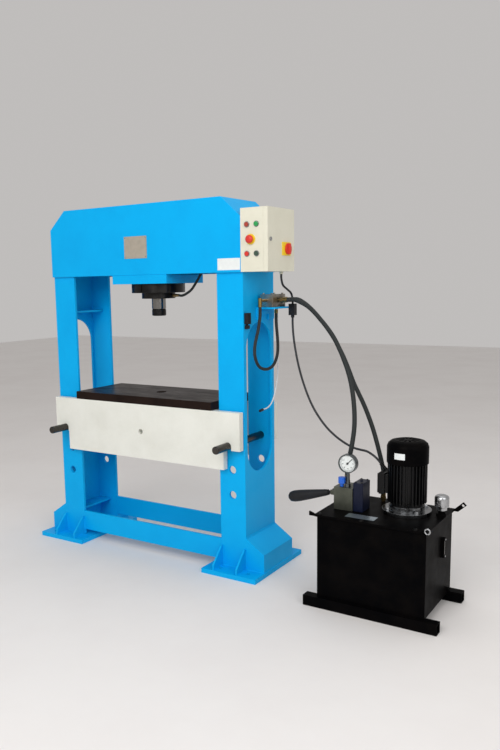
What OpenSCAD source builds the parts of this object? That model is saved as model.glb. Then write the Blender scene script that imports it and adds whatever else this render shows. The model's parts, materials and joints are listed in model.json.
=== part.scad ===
// Workshop hydraulic press: welded H-frame, pinned bed, electric control box and floor-standing power pack.
// Origin on the floor under the ram axis, X to the right, Y to the rear, Z up. Millimetres.

/* [Frame] */
// Height of the press above the floor
overall_h = 1950; // [1900:10:2100]
// Width across the outer faces of the columns
frame_w = 1300; // [1260:10:1400]
// Width of a column seen from the front
column_w = 156; // [140:1:170]
// Depth of a column between its front and rear faces
column_d = 316; // [300:2:340]
// Thickness of a column's outer web
web_t = 14; // [10:1:18]
// Thickness of a column's front and rear flanges
flange_t = 16; // [12:1:20]
// Width of the arched window in a web
window_w = 260; // [200:2:264]
// Height of the window's lower end
window_low = 530; // [480:5:600]
// Height of the window's upper end
window_high = 1320; // [1250:5:1330]
// Thickness of the stiffener plates inside the columns
stiffener_t = 12; // [8:1:16]
// How far the stiffeners stay back from the open side of a column
stiffener_back = 50; // [20:1:70]

/* [Head] */
// Height of the head's front and rear plates
head_h = 375; // [350:5:400]
// Thickness of the head's front and rear plates
head_t = 16; // [12:1:20]
// Width of the head's cut corners
chamfer_w = 115; // [90:1:140]
// Height of the head's cut corners
chamfer_h = 105; // [80:1:130]
// Thickness of the folded cover over the head
cover_t = 10; // [6:1:14]
// Width of the plate that seats the cylinder
seat_w = 374; // [340:2:420]
// Thickness of the plate that seats the cylinder
seat_t = 48; // [40:1:60]

/* [Base] */
// Thickness of a foot plate
foot_t = 25; // [20:1:30]
// Depth of a foot plate
foot_d = 520; // [480:10:580]
// How far a foot plate reaches outside its column
foot_out = 112; // [110:1:160]
// How far a foot plate reaches inside its column
foot_in = 64; // [40:2:90]
// How far the flared skirt stands out from the column
flare_w = 107; // [80:1:120]
// Height at which the flare leaves the column
flare_high = 195; // [170:5:230]
// Height at which the flare turns into the skirt
flare_low = 122; // [90:1:140]
// Plate thickness of skirt, gussets and ribs
skirt_t = 10; // [8:1:14]
// Height of the front and rear ribs on a foot
rib_h = 110; // [80:5:140]
// Height of the cross beams' lower edge
beam_low = 55; // [40:1:80]
// Height of a cross beam
beam_h = 116; // [100:2:140]
// Height of the rear cross beam above the front one
rear_beam_lift = 15; // [0:1:25]
// Diameter of the anchor holes
anchor_d = 22; // [18:1:26]
// Distance of the anchor holes from the foot plate's front and rear edges
anchor_inset = 55; // [45:1:60]
// Distance of the anchor holes from the pin axis, inwards and outwards
anchor_reach = [52, 118]; // [40:1:130]

/* [Cylinder and ram] */
// Diameter of the piston rod
rod_d = 80; // [70:1:100]
// Bore of the cylinder
bore_d = 200; // [180:2:210]
// Outer diameter of the cylinder
barrel_d = 250; // [236:2:260]
// Radial wall of the lock ring under the seat
ring_wall = 25; // [20:1:35]
// Height of the lock ring
ring_h = 50; // [40:1:60]
// Outer diameter of the gland
gland_d = 189; // [150:1:196]
// Height of the gland's flange
gland_h = 32; // [24:1:40]
// Length of the gland inside the cylinder
spigot_h = 34; // [24:1:40]
// Height of the piston
piston_h = 80; // [60:1:90]
// Stroke of the ram
stroke = 250; // [200:10:260]
// Length of ram that shows below the gland
ram_show = 97; // [80:1:120]
// Height of the pressing nose
nose_h = 39; // [30:1:50]

/* [Bed] */
// Thickness of a bed plate
bed_t = 36; // [30:1:40]
// Height of a bed plate
bed_h = 307; // [280:1:330]
// How far a bed shoulder stays inside the column's outer face
bed_short = 5; // [0:1:20]
// Width of a bed shoulder
shoulder_w = 99; // [98:1:120]
// Running gap between a bed plate and the column faces
bed_gap = 8; // [4:1:12]
// Height of the bed's top above the pin axis
bed_rise = 178; // [160:1:190]
// Gap between the table and a column's inner edge
table_gap = 20; // [12:1:50]
// Thickness of the table plate
table_t = 44; // [36:1:50]
// Diameter of the table's centre hole
table_hole_d = 58; // [40:1:80]
// Diameter of the lifting hole in the bed plates
lift_hole_d = 30; // [20:1:40]
// Diameter of a support pin
pin_d = 42; // [36:1:46]
// How far a pin stands out in front of the bed
pin_out = 118; // [90:1:140]
// Height of the lowest pin holes
hole_low = 420; // [380:5:440]
// Distance between pin holes
hole_pitch = 135; // [120:1:140]
// Number of pin holes in each flange
hole_count = 3; // [3:1:4]

/* [Control box] */
// Width of the control box along the column's depth
box_w = 276; // [250:2:290]
// Height of the control box
box_h = 308; // [290:2:330]
// Depth of the box body without its door
box_depth = 128; // [115:1:140]
// Thickness of the box's sheet
box_t = 3; // [2:0.5:4]
// Depth of the door tray
door_t = 25; // [20:1:30]
// Diameter of a push button
button_d = 22; // [18:1:24]
// Travel of a push button
button_travel = 4; // [3:0.5:5]
// Diameter of the stop mushroom
estop_d = 40; // [34:1:44]

/* [Manifold] */
// How far the bracket's plate lies below the head
bracket_drop = 179; // [170:1:190]
// How far the bracket stands out from the column
bracket_out = 110; // [100:1:125]
// Thickness of the bracket
bracket_t = 8; // [6:1:10]
// Outer diameter of the pressure hoses
hose_d = 22; // [18:1:24]
// Outer diameter of the slack hose beside the column
loop_d = 16; // [14:1:18]
// Outer diameter of the cylinder's hose
feed_d = 14; // [12:1:16]
// Outer diameter of the motor and box leads
lead_d = 11; // [9:1:12]
// Outer diameter of the hanging signal lead
signal_d = 7; // [6:0.5:8]

/* [Power pack] */
// Distance of the power pack's centre from the ram axis
pack_x = 1392; // [1380:1:1420]
// Place of the power pack's centre along the press's depth
pack_y = -125; // [-140:5:-110]
// Width of the tank
tank_w = 515; // [505:5:540]
// Depth of the tank
tank_d = 390; // [385:5:420]
// Height of the tank
tank_h = 390; // [360:5:400]
// Wall of the tank
tank_t = 4; // [3:0.5:6]
// Size of the square skid tubes
rail_s = 50; // [40:1:50]
// Wall of the skid tubes
rail_t = 4; // [3:0.5:5]
// How far the skid tubes stand out on each side
rail_over = 62; // [40:1:80]
// Thickness of the tank's lid
lid_t = 10; // [8:1:12]
// How far the lid stands over the tank
lid_over = 10; // [6:1:14]
// Outer diameter of the fan cowl
cowl_d = 190; // [180:1:200]
// Outer diameter over the motor's fins
fin_d = 180; // [170:1:190]
// Number of fins round the motor
fin_count = 32; // [24:1:36]
// Diameter of the motor's mounting flange
flange_d = 225; // [210:1:240]
// Diameter of the pressure gauge
gauge_d = 90; // [80:1:100]
// Diameter of the lever's grip
grip_d = 56; // [44:1:60]
// Length of the lever's grip
grip_l = 220; // [160:5:235]

/* [Hidden] */
$fn = 48;

// Small lengths that many cuts share
over = 1;
thread_gap = 0.1;
run_gap = 0.06;
seat_gap = 0.3;

// Frame
half_w = frame_w / 2;
half_d = column_d / 2;
inner_x = half_w - column_w;
head_low = overall_h - head_h;
corner_z = overall_h - chamfer_h;
seat_low = head_low - seat_t;
window_r = window_w / 2;
beam_high = beam_low + beam_h;
stiffener_rise = 44;
upper_stiffener_z = window_high + stiffener_rise;

// Cylinder, from the seat down and from the gland up
ring_low = seat_low - ring_h;
gland_low = ring_low - gland_h;
nose_low = gland_low - ram_show;
nose_high = nose_low + nose_h;
cushion = 8;
ring_d = barrel_d + 2 * ring_wall;
spigot_high = ring_low + spigot_h;
piston_low = spigot_high + cushion + stroke;
piston_high = piston_low + piston_h;
chamber_high = piston_high + cushion;
cap_t = 40;
port_d = 16;
rod_end_d = rod_d * 0.7;
nose_spigot_d = rod_d * 0.45;
nose_spigot_h = 24;
feed_z = ring_low - gland_h / 2;
gland_boss = 4;

// Bed and pins
pin_r = pin_d / 2;
pin_x = half_w - column_w / 2;
pin_z = hole_low + (hole_count - 1) * hole_pitch;
pin_hole_r = pin_r + 0.4;
bed_inner_y = half_d + bed_gap;
bed_outer_y = bed_inner_y + bed_t;
bed_w = frame_w - 2 * bed_short;
bed_low_w = bed_w - 2 * shoulder_w;
table_w = 2 * (inner_x - table_gap);
bed_high = pin_z + bed_rise;
bed_low = bed_high - bed_h;
bed_shoulder_z = pin_z - pin_r - over;
table_high = bed_high + table_t;
pin_rear_out = 20;

// Control box
box_front_y = -(half_d + head_t + 2);
box_rear_y = box_front_y + box_w;
box_low = head_low + 1;
box_high = box_low + box_h;
door_x = half_w + box_depth + 0.5;
door_face_x = door_x + door_t;
hinge_r = 5.5;
hinge_pin_r = 3;
hinge_y = box_rear_y + hinge_r + 0.5;
hinge_heights = [box_low + 50, box_high - 50];
button_r = button_d / 2;
bezel_r = button_r + 3.5;
bezel_h = 5;
button_xs = [half_w + 38, half_w + 92];
button_zs = [box_low + 87, box_low + 228];
estop_x = half_w + 59;
estop_z = box_low + 156;
collar_r = 25;
collar_h = 5;
estop_gap = 7;
estop_stem_r = 8;
knob_y = box_front_y + 197;
knob_z = box_low + 111;
knob_r = 28;
knob_stem_r = 7;
lock_y = box_front_y + 25;
lock_z = box_low + 155;

// Manifold beside the right column
bracket_z = head_low - bracket_drop;
block_x0 = half_w + 20;
block_x1 = half_w + 92;
block_y0 = -20;
block_y1 = 118;
block_h = 66;
block_high = bracket_z + block_h;
hose_z = bracket_z + 36;
hose_ys = [50, 92];
fitting_end_x = half_w + 140;
loop_x = half_w + 55;
elbow_y = -85;
loop_rear_y = 85;
feed_y = 50;

// Power pack
tank_low = rail_s;
tank_high = tank_low + tank_h;
lid_high = tank_high + lid_t;
motor_at = [90, 40];
flange_h = 18;
hub_h = 22;
lid_hole_r = 40;
motor_low = lid_high + flange_h + hub_h;
frame_h = 205;
cowl_h = 100;
frame_high = motor_low + frame_h;
cowl_high = frame_high + cowl_h;
terminal_rise = 50;
end_shield_t = 20;
fin_depth = 14;
fan_gap = 14;
shaft_r = 14;
rotor_r = 51;
stator_r = rotor_r + 1;
fin_root_r = fin_d / 2 - fin_depth;
valve_at = [-177, -28.5];
valve_size = [94, 107, 110];
valve_high = lid_high + valve_size[2];
body_size = [48, 90, 138];
body_at = [valve_at[0] + (valve_size[0] + body_size[0]) / 2, valve_at[1]];
gauge_at = [valve_at[0] + 18, valve_at[1] - 36];
gauge_z = valve_high + 116;
relief_at = [valve_at[0] - 15, valve_at[1] - 32];
port_a_at = [-180, -25];
port_b_at = [-67, 155];
port_rise = 50;
lever_at = [valve_at[0] - valve_size[0] / 2 - 22, -35];
lever_z = lid_high + 70;
breather_at = [245, 65];
neck_h = 52;
neck_r = 16;
shaft_in = 70;
pump_h = 150;
strainer_low = 30;
strainer_h = 60;
strainer_r = 34;
terminal_size = [36, 100, 100];

// Routes of the hoses and leads, chosen by hand
hose_a_route = [
    [790, 50, 1432], [830, 50, 1432], [910, 38, 1400], [990, 15, 1338], [1075, -10, 1250], [1145, -40, 1140],
    [1190, -65, 1040], [1220, -95, 930], [1232, -120, 830], [1226, -142, 730], [1212, -150, 650], [1212, -150, 610]
];
hose_b_route = [
    [790, 92, 1432], [830, 92, 1432], [890, 88, 1398], [965, 78, 1330], [1040, 70, 1240], [1105, 62, 1130],
    [1155, 56, 1020], [1210, 50, 920], [1260, 42, 810], [1300, 34, 690], [1325, 30, 590], [1325, 30, 500]
];
motor_lead_route = [
    [777, 133, 1338], [777, 133, 1300], [790, 122, 1220], [825, 100, 1100], [875, 75, 985], [940, 48, 880],
    [1025, 18, 795], [1115, -10, 742], [1200, -35, 715], [1270, -53, 710], [1318, -60, 687], [1343, -60, 662]
];
loop_route = [
    [705, -85, 1400], [705, -85, 1355], [705, -108, 1280], [705, -138, 1215], [705, -140, 1155], [705, -100, 1100],
    [705, -25, 1078], [705, 50, 1092], [705, 95, 1145], [705, 100, 1215], [705, 85, 1310], [705, 85, 1362]
];
feed_route = [
    [142, 0, 1461], [170, 0, 1461], [225, 0, 1490], [270, 0, 1545], [315, 0, 1600], [380, 5, 1634],
    [470, 25, 1626], [523, 42, 1592], [546, 50, 1540], [546, 50, 1498], [551, 50, 1473], [565, 50, 1451],
    [587, 50, 1437], [608, 50, 1432], [622, 50, 1432]
];
box_lead_route = [
    [750, 60, 1564], [750, 60, 1542], [756, 82, 1500], [769, 114, 1458], [777, 133, 1430], [777, 133, 1410]
];
signal_route = [
    [690, 126, 1388], [690, 126, 1350], [690, 128, 1220], [690, 130, 1080], [690, 112, 985], [690, 72, 905],
    [690, 20, 872], [690, -40, 867]
];

// Colours, as the object shows them
blue = "#1a9ff0";
cream = "#e6e8e1";
table_brown = "#3a2620";
black_iron = "#17181a";
chrome = "#c9ccd0";
dark_steel = "#55565a";
box_grey = "#d9d8ca";
brass = "#a5884f";
tank_black = "#121315";
hose_black = "#1c1e22";

// A box given by its two corners
module block(low, high) {
    translate(low)
        cube(high - low);
}

// Children mirrored to both sides of the press
module both_sides() {
    children();
    mirror([1, 0, 0])
        children();
}

// Children on the power pack's own centre
module at_pack(place = [0, 0], height = 0) {
    translate([pack_x + place[0], pack_y + place[1], height])
        children();
}

// A round bar from one height to another
module upright(r, low, high) {
    translate([0, 0, low])
        cylinder(r = r, h = high - low);
}

// A round bar along Y from one depth to another
module bar_y(r, low, high) {
    translate([0, low, 0])
        rotate([-90, 0, 0])
            cylinder(r = r, h = high - low);
}

// A round bar along X from one side to another
module bar_x(r, low, high) {
    translate([low, 0, 0])
        rotate([0, 90, 0])
            cylinder(r = r, h = high - low);
}

// A plate with an XZ outline between two depths
module plate_xz(points, y_low, y_high) {
    translate([0, y_high, 0])
        rotate([90, 0, 0])
            linear_extrude(y_high - y_low)
                polygon(points);
}

// Unit vector
function unit(v) = v / norm(v);

// Direction of a route at one of its points
function heading(route, i) =
    unit(route[min(i + 1, len(route) - 1)] - route[max(i - 1, 0)]);

// Points of one ring round a route
function ring_points(route, i, r, side, n) =
    let (t = heading(route, i), u = unit(cross(t, side)), v = cross(t, u))
    [for (k = [0 : n - 1]) route[i] + r * (cos(360 * k / n) * u + sin(360 * k / n) * v)];

// Tube of one diameter along a route, with flat ends
module tube(route, d, side, n = 10) {
    rings = len(route);
    points = [for (i = [0 : rings - 1]) each ring_points(route, i, d / 2, side, n)];
    walls = [
        for (i = [0 : rings - 2])
            for (k = [0 : n - 1])
                [i * n + k, i * n + (k + 1) % n, (i + 1) * n + (k + 1) % n, (i + 1) * n + k]
    ];
    near_end = [for (k = [n - 1 : -1 : 0]) k];
    far_end = [for (k = [0 : n - 1]) (rings - 1) * n + k];
    polyhedron(points, concat(walls, [near_end, far_end]), convexity = 8);
}

// Arched outline of the window, in the web's own YZ plane
module window_cut() {
    for (z = [window_low + window_r, window_high - window_r])
        translate([0, 0, z])
            bar_x(window_r, half_w - web_t - over, half_w + over);
    block([half_w - web_t - over, -window_r, window_low + window_r],
          [half_w + over, window_r, window_high - window_r]);
}

// Pin holes through both flanges
module pin_holes() {
    for (i = [0 : hole_count - 1])
        translate([pin_x, 0, hole_low + i * hole_pitch])
            bar_y(pin_hole_r, -half_d - over, half_d + over);
}

// Channel-section column, open towards the ram
module column() {
    difference() {
        block([inner_x, -half_d, foot_t], [half_w, half_d, corner_z]);
        block([inner_x - over, -half_d + flange_t, foot_t - over],
              [half_w - web_t, half_d - flange_t, corner_z + over]);
        window_cut();
        pin_holes();
    }
}

module left_column() {
    color(blue)
        mirror([1, 0, 0])
            column();
}

// The right column also passes the cylinder's feed to the manifold
module right_column() {
    color(blue)
        difference() {
            column();
            translate([0, feed_y, hose_z])
                bar_x(feed_d / 2 + 3, half_w - web_t - over, half_w + over);
        }
}

module frame_stiffeners() {
    color(blue)
        both_sides()
            for (z = [beam_high - stiffener_t, upper_stiffener_z])
                block([inner_x + stiffener_back, -half_d + flange_t, z],
                      [half_w - web_t, half_d - flange_t, z + stiffener_t]);
}

// Outline of the head's front and rear plates
head_outline = [
    [-half_w, head_low], [half_w, head_low], [half_w, corner_z], [half_w - chamfer_w, overall_h],
    [-half_w + chamfer_w, overall_h], [-half_w, corner_z]
];

module head_front_plate() {
    color(blue)
        plate_xz(head_outline, -half_d - head_t, -half_d);
}

module head_rear_plate() {
    color(blue)
        plate_xz(head_outline, half_d, half_d + head_t);
}

// Folded cover between the head plates: slope, top, slope
module head_cover() {
    slope = atan2(chamfer_h, chamfer_w);
    foot_x = half_w - cover_t / sin(slope);
    top_x = foot_x - (chamfer_h - cover_t) / tan(slope);
    outline = [
        [half_w, corner_z], [half_w - chamfer_w, overall_h], [-half_w + chamfer_w, overall_h], [-half_w, corner_z],
        [-foot_x, corner_z], [-top_x, overall_h - cover_t], [top_x, overall_h - cover_t], [foot_x, corner_z]
    ];
    color(blue)
        plate_xz(outline, -half_d, half_d);
}

module cylinder_seat() {
    color(blue)
        difference() {
            block([-seat_w / 2, -half_d - head_t, seat_low], [seat_w / 2, half_d + head_t, head_low]);
            upright(barrel_d / 2 + thread_gap, seat_low - over, head_low + over);
        }
}

// Upright plate between the columns, level with their flanges
module base_beam(y_low, lift) {
    block([-inner_x, y_low, beam_low + lift], [inner_x, y_low + flange_t, beam_high + lift]);
}

module base_beams() {
    color(blue) {
        base_beam(-half_d, 0);
        base_beam(half_d - flange_t, rear_beam_lift);
    }
}

// Outer outline of the flare and skirt beside a column
flare_outline = [
    [half_w, flare_high], [half_w + flare_w, flare_low], [half_w + flare_w, foot_t], [half_w, foot_t]
];

// Welded foot: floor plate, flared skirt with closed ends, and a rib at the front and rear
module foot() {
    rib_d = foot_d / 2 - half_d - 8;
    difference() {
        block([inner_x - foot_in, -foot_d / 2, 0], [half_w + foot_out, foot_d / 2, foot_t]);
        for (side = [-1, 1], x = [pin_x - anchor_reach[0], pin_x + anchor_reach[1]])
            translate([x, side * (foot_d / 2 - anchor_inset), 0])
                upright(anchor_d / 2, -over, foot_t + over);
    }
    difference() {
        plate_xz(flare_outline, -half_d, half_d);
        plate_xz([
            [half_w, flare_high - skirt_t * 1.3], [half_w + flare_w - skirt_t, flare_low - skirt_t * 0.5],
            [half_w + flare_w - skirt_t, foot_t], [half_w, foot_t]
        ], -half_d + skirt_t, half_d - skirt_t);
    }
    for (turn = [0, 1], x = [inner_x + 2, half_w - skirt_t - 2])
        mirror([0, turn, 0])
            translate([x, -half_d, foot_t])
                rotate([90, 0, 90])
                    linear_extrude(skirt_t)
                        polygon([[0, 0], [0, rib_h], [-12, rib_h], [-rib_d, rib_h / 4], [-rib_d, 0]]);
}

module feet() {
    color(blue)
        both_sides()
            foot();
}

// Closed-top barrel, held by the lock ring under the seat
module cylinder_barrel() {
    color(black_iron)
        difference() {
            upright(barrel_d / 2, ring_low, chamber_high + cap_t);
            upright(bore_d / 2, ring_low - over, chamber_high);
            translate([0, 0, chamber_high - cushion / 2])
                bar_y(port_d / 2, 0, barrel_d / 2 + over);
        }
}

// Slotted ring nut
module lock_ring() {
    slot_w = 16;
    slot_d = 7;
    color(black_iron)
        difference() {
            upright(ring_d / 2, ring_low, seat_low);
            upright(barrel_d / 2 + thread_gap, ring_low - over, seat_low + over);
            for (i = [0 : 5])
                rotate(i * 60 + 30)
                    block([ring_d / 2 - slot_d, -slot_w / 2, ring_low - over],
                          [ring_d / 2 + over, slot_w / 2, seat_low + over]);
        }
}

module gland_nut() {
    color(dark_steel)
        difference() {
            union() {
                upright(gland_d / 2, gland_low, ring_low);
                upright(bore_d / 2 - thread_gap, ring_low, spigot_high);
                translate([0, 0, feed_z])
                    bar_x(feed_d * 0.7, rod_d / 2 + 10, gland_d / 2 + gland_boss);
            }
            upright(rod_d / 2 + run_gap, gland_low - over, spigot_high + over);
        }
}

module piston() {
    groove = 4;
    color(dark_steel)
        difference() {
            upright(bore_d / 2 - run_gap, piston_low, piston_high);
            upright(rod_end_d / 2 + thread_gap, piston_low - over, piston_high + over);
            for (z = [piston_low + piston_h * 0.3, piston_low + piston_h * 0.7])
                difference() {
                    upright(bore_d / 2 + over, z - groove, z + groove);
                    upright(bore_d / 2 - groove, z - groove - over, z + groove + over);
                }
        }
}

module ram_rod() {
    color(chrome)
        difference() {
            union() {
                upright(rod_d / 2, nose_high, piston_low);
                upright(rod_end_d / 2, piston_low, piston_high);
            }
            upright(nose_spigot_d / 2 + thread_gap, nose_high - over, nose_high + nose_spigot_h + over);
        }
}

// Replaceable pressing nose, a turned cap with a relieved neck
module ram_nose() {
    color(dark_steel)
        rotate_extrude()
            polygon([
                [0, nose_low], [rod_d / 2 - 4, nose_low], [rod_d / 2, nose_low + 4], [rod_d / 2, nose_high - 5],
                [rod_d / 2 - 3, nose_high - 3], [rod_d / 2 - 3, nose_high], [nose_spigot_d / 2, nose_high],
                [nose_spigot_d / 2, nose_high + nose_spigot_h], [0, nose_high + nose_spigot_h]
            ]);
}

// Bed plate with shoulders that sit on the pins in open saddles
module bed_plate(y_low) {
    outline = [
        [-bed_w / 2, bed_high], [-bed_w / 2, bed_shoulder_z], [-bed_low_w / 2, bed_shoulder_z],
        [-bed_low_w / 2, bed_low], [bed_low_w / 2, bed_low], [bed_low_w / 2, bed_shoulder_z],
        [bed_w / 2, bed_shoulder_z], [bed_w / 2, bed_high]
    ];
    saddle_r = pin_r + seat_gap;
    difference() {
        plate_xz(outline, y_low, y_low + bed_t);
        both_sides()
            translate([pin_x, 0, pin_z]) {
                bar_y(saddle_r, y_low - over, y_low + bed_t + over);
                block([-saddle_r, y_low - over, -pin_d], [saddle_r, y_low + bed_t + over, 0]);
            }
        translate([0, 0, (bed_low + bed_high) / 2])
            bar_y(lift_hole_d / 2, y_low - over, y_low + bed_t + over);
    }
}

module bed_front_plate() {
    color(cream)
        bed_plate(-bed_outer_y);
}

module bed_rear_plate() {
    color(cream)
        bed_plate(bed_inner_y);
}

// Cross plates welded between the two bed plates
module bed_ties() {
    tie_t = 20;
    tie_x = table_w / 2 - 40;
    tie_rise = 40;
    color(cream)
        both_sides()
            block([tie_x - tie_t, -bed_inner_y, bed_low + tie_rise], [tie_x, bed_inner_y, bed_high]);
}

module table_plate() {
    edge = 3;
    color(table_brown)
        difference() {
            plate_xz([
                [-table_w / 2, bed_high], [table_w / 2, bed_high], [table_w / 2, table_high - edge],
                [table_w / 2 - edge, table_high], [-table_w / 2 + edge, table_high], [-table_w / 2, table_high - edge]
            ], -bed_outer_y, bed_outer_y);
            upright(table_hole_d / 2, bed_high - over, table_high + over);
        }
}

// Turned support pin with rounded grip end and a tapered nose
module support_pin() {
    front_y = -bed_outer_y - pin_out;
    rear_y = bed_outer_y + pin_rear_out;
    taper = 8;
    translate([pin_x, front_y, pin_z])
        rotate([-90, 0, 0])
            rotate_extrude()
                polygon([
                    [0, 0], [pin_r - 5, 0], [pin_r - 1.5, 1.5], [pin_r, 5], [pin_r, rear_y - front_y - taper],
                    [pin_r - taper / 2, rear_y - front_y], [0, rear_y - front_y]
                ]);
}

module left_pin() {
    color(black_iron)
        mirror([1, 0, 0])
            support_pin();
}

module right_pin() {
    color(black_iron)
        support_pin();
}

// Sheet-metal body, open towards the door, with hinge lugs at the rear
module control_box() {
    color(box_grey) {
        difference() {
            block([half_w, box_front_y, box_low], [half_w + box_depth, box_rear_y, box_high]);
            block([half_w + box_t, box_front_y + box_t, box_low + box_t],
                  [half_w + box_depth + over, box_rear_y - box_t, box_high - box_t]);
            for (x = button_xs, z = button_zs)
                translate([x, 0, z])
                    bar_y(button_r + 1, box_front_y - over, box_front_y + box_t + over);
            translate([estop_x, 0, estop_z])
                bar_y(estop_stem_r + 1, box_front_y - over, box_front_y + box_t + over);
        }
        translate([half_w + 100, 60, 0])
            upright(lead_d * 0.8, box_low - 12, box_low);
        for (z = hinge_heights) {
            translate([door_x, hinge_y, 0]) {
                upright(hinge_pin_r, z - 22, z + 22);
                for (low = [z - 22, z + 10.3])
                    upright(hinge_r, low, low + 11.7);
            }
            for (low = [z - 22, z + 10.3])
                block([door_x - hinge_r, box_rear_y, low], [door_x - 0.5, hinge_y, low + 11.7]);
        }
    }
}

// Door tray with rolled edges, knuckles at the rear
module box_door() {
    color(box_grey)
        difference() {
            union() {
                block([door_x, box_front_y, box_low], [door_face_x, box_rear_y, box_high]);
                for (z = hinge_heights) {
                    translate([door_x, hinge_y, 0])
                        upright(hinge_r, z - 10, z + 10);
                    block([door_x, box_rear_y, z - 10], [door_x + hinge_r, hinge_y, z + 10]);
                }
            }
            block([door_x - over, box_front_y + box_t, box_low + box_t],
                  [door_face_x - box_t, box_rear_y - box_t, box_high - box_t]);
            for (z = hinge_heights)
                translate([door_x, hinge_y, 0])
                    upright(hinge_pin_r + run_gap, z - 10 - over, z + 10 + over);
            translate([0, knob_y, knob_z])
                bar_x(knob_stem_r + run_gap, door_face_x - box_t - over, door_face_x + over);
            translate([0, lock_y, lock_z])
                bar_x(knob_stem_r + run_gap, door_face_x - box_t - over, door_face_x + over);
        }
}

// Quarter-turn lock with a key slot
module door_lock() {
    color(chrome)
        translate([0, lock_y, lock_z])
            difference() {
                union() {
                    bar_x(knob_stem_r, door_face_x - 14, door_face_x + seat_gap);
                    bar_x(knob_stem_r + 3, door_face_x + seat_gap, door_face_x + 5);
                }
                block([door_face_x + 3, -1.2, -6], [door_face_x + 6, 1.2, 6]);
            }
}

// Square yellow plate behind the main switch
module switch_plate() {
    plate_s = 66;
    plate_t = 4;
    color("#f2d21f")
        difference() {
            block([door_face_x, knob_y - plate_s / 2 - 20, knob_z - plate_s / 2],
                  [door_face_x + plate_t, knob_y + plate_s / 2, knob_z + plate_s / 2]);
            translate([0, knob_y, knob_z])
                bar_x(knob_stem_r + run_gap, door_face_x - over, door_face_x + plate_t + over);
        }
}

// Red rotary switch: round base with a raised grip bar
module switch_knob() {
    base_x = door_face_x + 4 + seat_gap;
    color("#d8241c")
        translate([0, knob_y, knob_z]) {
            bar_x(knob_stem_r, door_face_x - 16, base_x);
            bar_x(knob_r, base_x, base_x + 9);
            block([base_x + 9, -6.5, -knob_r + 2], [base_x + 17, 6.5, knob_r - 2]);
        }
}

// Bezels of the push buttons and the stop button's collar
module button_bezels() {
    color("#b9bcc0")
        for (x = button_xs, z = button_zs)
            translate([x, 0, z])
                difference() {
                    bar_y(bezel_r, box_front_y - bezel_h, box_front_y);
                    bar_y(button_r + run_gap, box_front_y - bezel_h - over, box_front_y + over);
                }
    color("#f2d21f")
        translate([estop_x, 0, estop_z])
            difference() {
                bar_y(collar_r, box_front_y - collar_h, box_front_y);
                bar_y(estop_stem_r + run_gap, box_front_y - collar_h - over, box_front_y + over);
            }
}

// Push button through its bezel, with a collar that keeps it in the box
module push_button(x, z) {
    proud = bezel_h + button_travel + 0.5;
    translate([x, 0, z])
        difference() {
            union() {
                bar_y(button_r, box_front_y - proud, box_front_y + box_t + 16);
                bar_y(button_r + 3, box_front_y + box_t + 0.5, box_front_y + box_t + 4);
            }
            bar_y(button_r * 0.72, box_front_y - proud - over, box_front_y - proud + 0.8);
        }
}

module start_button() {
    color("#1d9a4a")
        push_button(button_xs[1], button_zs[1]);
}

module stop_button() {
    color("#b5372a")
        push_button(button_xs[0], button_zs[1]);
}

module up_button() {
    color("#37503f")
        push_button(button_xs[1], button_zs[0]);
}

module down_button() {
    color("#d2452f")
        push_button(button_xs[0], button_zs[0]);
}

// Red mushroom on a stem
module estop_button() {
    cap_y = box_front_y - collar_h - estop_gap;
    color("#d3342c")
        translate([estop_x, cap_y, estop_z])
            rotate([90, 0, 0])
                rotate_extrude()
                    polygon([
                        [0, -collar_h - estop_gap - 22], [estop_stem_r, -collar_h - estop_gap - 22],
                        [estop_stem_r, 0], [estop_d / 2 - 2, 0], [estop_d / 2, 3], [estop_d / 2, 8],
                        [estop_d / 2 - 4, 13], [estop_d / 4, 16], [0, 17]
                    ]);
}

// Angle bracket that carries the manifold
module manifold_bracket() {
    low = bracket_z - 66;
    color(blue) {
        block([half_w, block_y0 - 10, bracket_z - bracket_t],
              [half_w + bracket_out, block_y1 + 32, bracket_z]);
        difference() {
            block([half_w, block_y0 - 10, low], [half_w + bracket_t, block_y1 + 32, bracket_z - bracket_t]);
            block([half_w - over, feed_y - 40, low - over],
                  [half_w + bracket_t + over, feed_y + 40, bracket_z - bracket_t - 30]);
        }
    }
}

// Drilled block with four clamping bolts
module manifold_block() {
    color(brass) {
        block([block_x0, block_y0, bracket_z], [block_x1, block_y1, block_high]);
        for (x = [block_x0 + 12, block_x1 - 12], y = [block_y0 + 12, block_y1 - 12])
            translate([x, y, 0])
                upright(6, block_high, block_high + 6);
    }
}

// Straight hose end: hexagon then ferrule, along the local X
module straight_fitting(start, end, d) {
    bar_x(d * 0.42, start, start + 8);
    translate([start + 8, 0, 0])
        rotate([0, 90, 0])
            cylinder(d = d * 1.35, h = 16, $fn = 6);
    bar_x(d * 0.56, start + 24, end);
}

// Steel and brass ends of every hose
module hose_fittings() {
    color(brass) {
        for (y = hose_ys)
            translate([0, y, hose_z])
                straight_fitting(block_x1, fitting_end_x, hose_d);
        translate([loop_x, 0, hose_z]) {
            bar_y(loop_d * 0.45, elbow_y + loop_d * 0.6, block_y0);
            translate([0, elbow_y, 0])
                upright(loop_d * 0.6, -32, 12);
        }
        translate([loop_x, loop_rear_y, bracket_z - bracket_t])
            rotate([0, 90, 0])
                straight_fitting(0, 26, loop_d);
        translate([0, feed_y, hose_z])
            bar_x(feed_d * 0.6, half_w - web_t - 14, block_x0);
        translate([0, 0, feed_z])
            straight_fitting(gland_d / 2 + gland_boss, 142, feed_d);
        at_pack(port_a_at, valve_high)
            rotate([0, -90, 0])
                straight_fitting(0, port_rise, hose_d);
        at_pack(port_b_at, lid_high)
            rotate([0, -90, 0])
                straight_fitting(0, port_rise, hose_d);
    }
}

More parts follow.
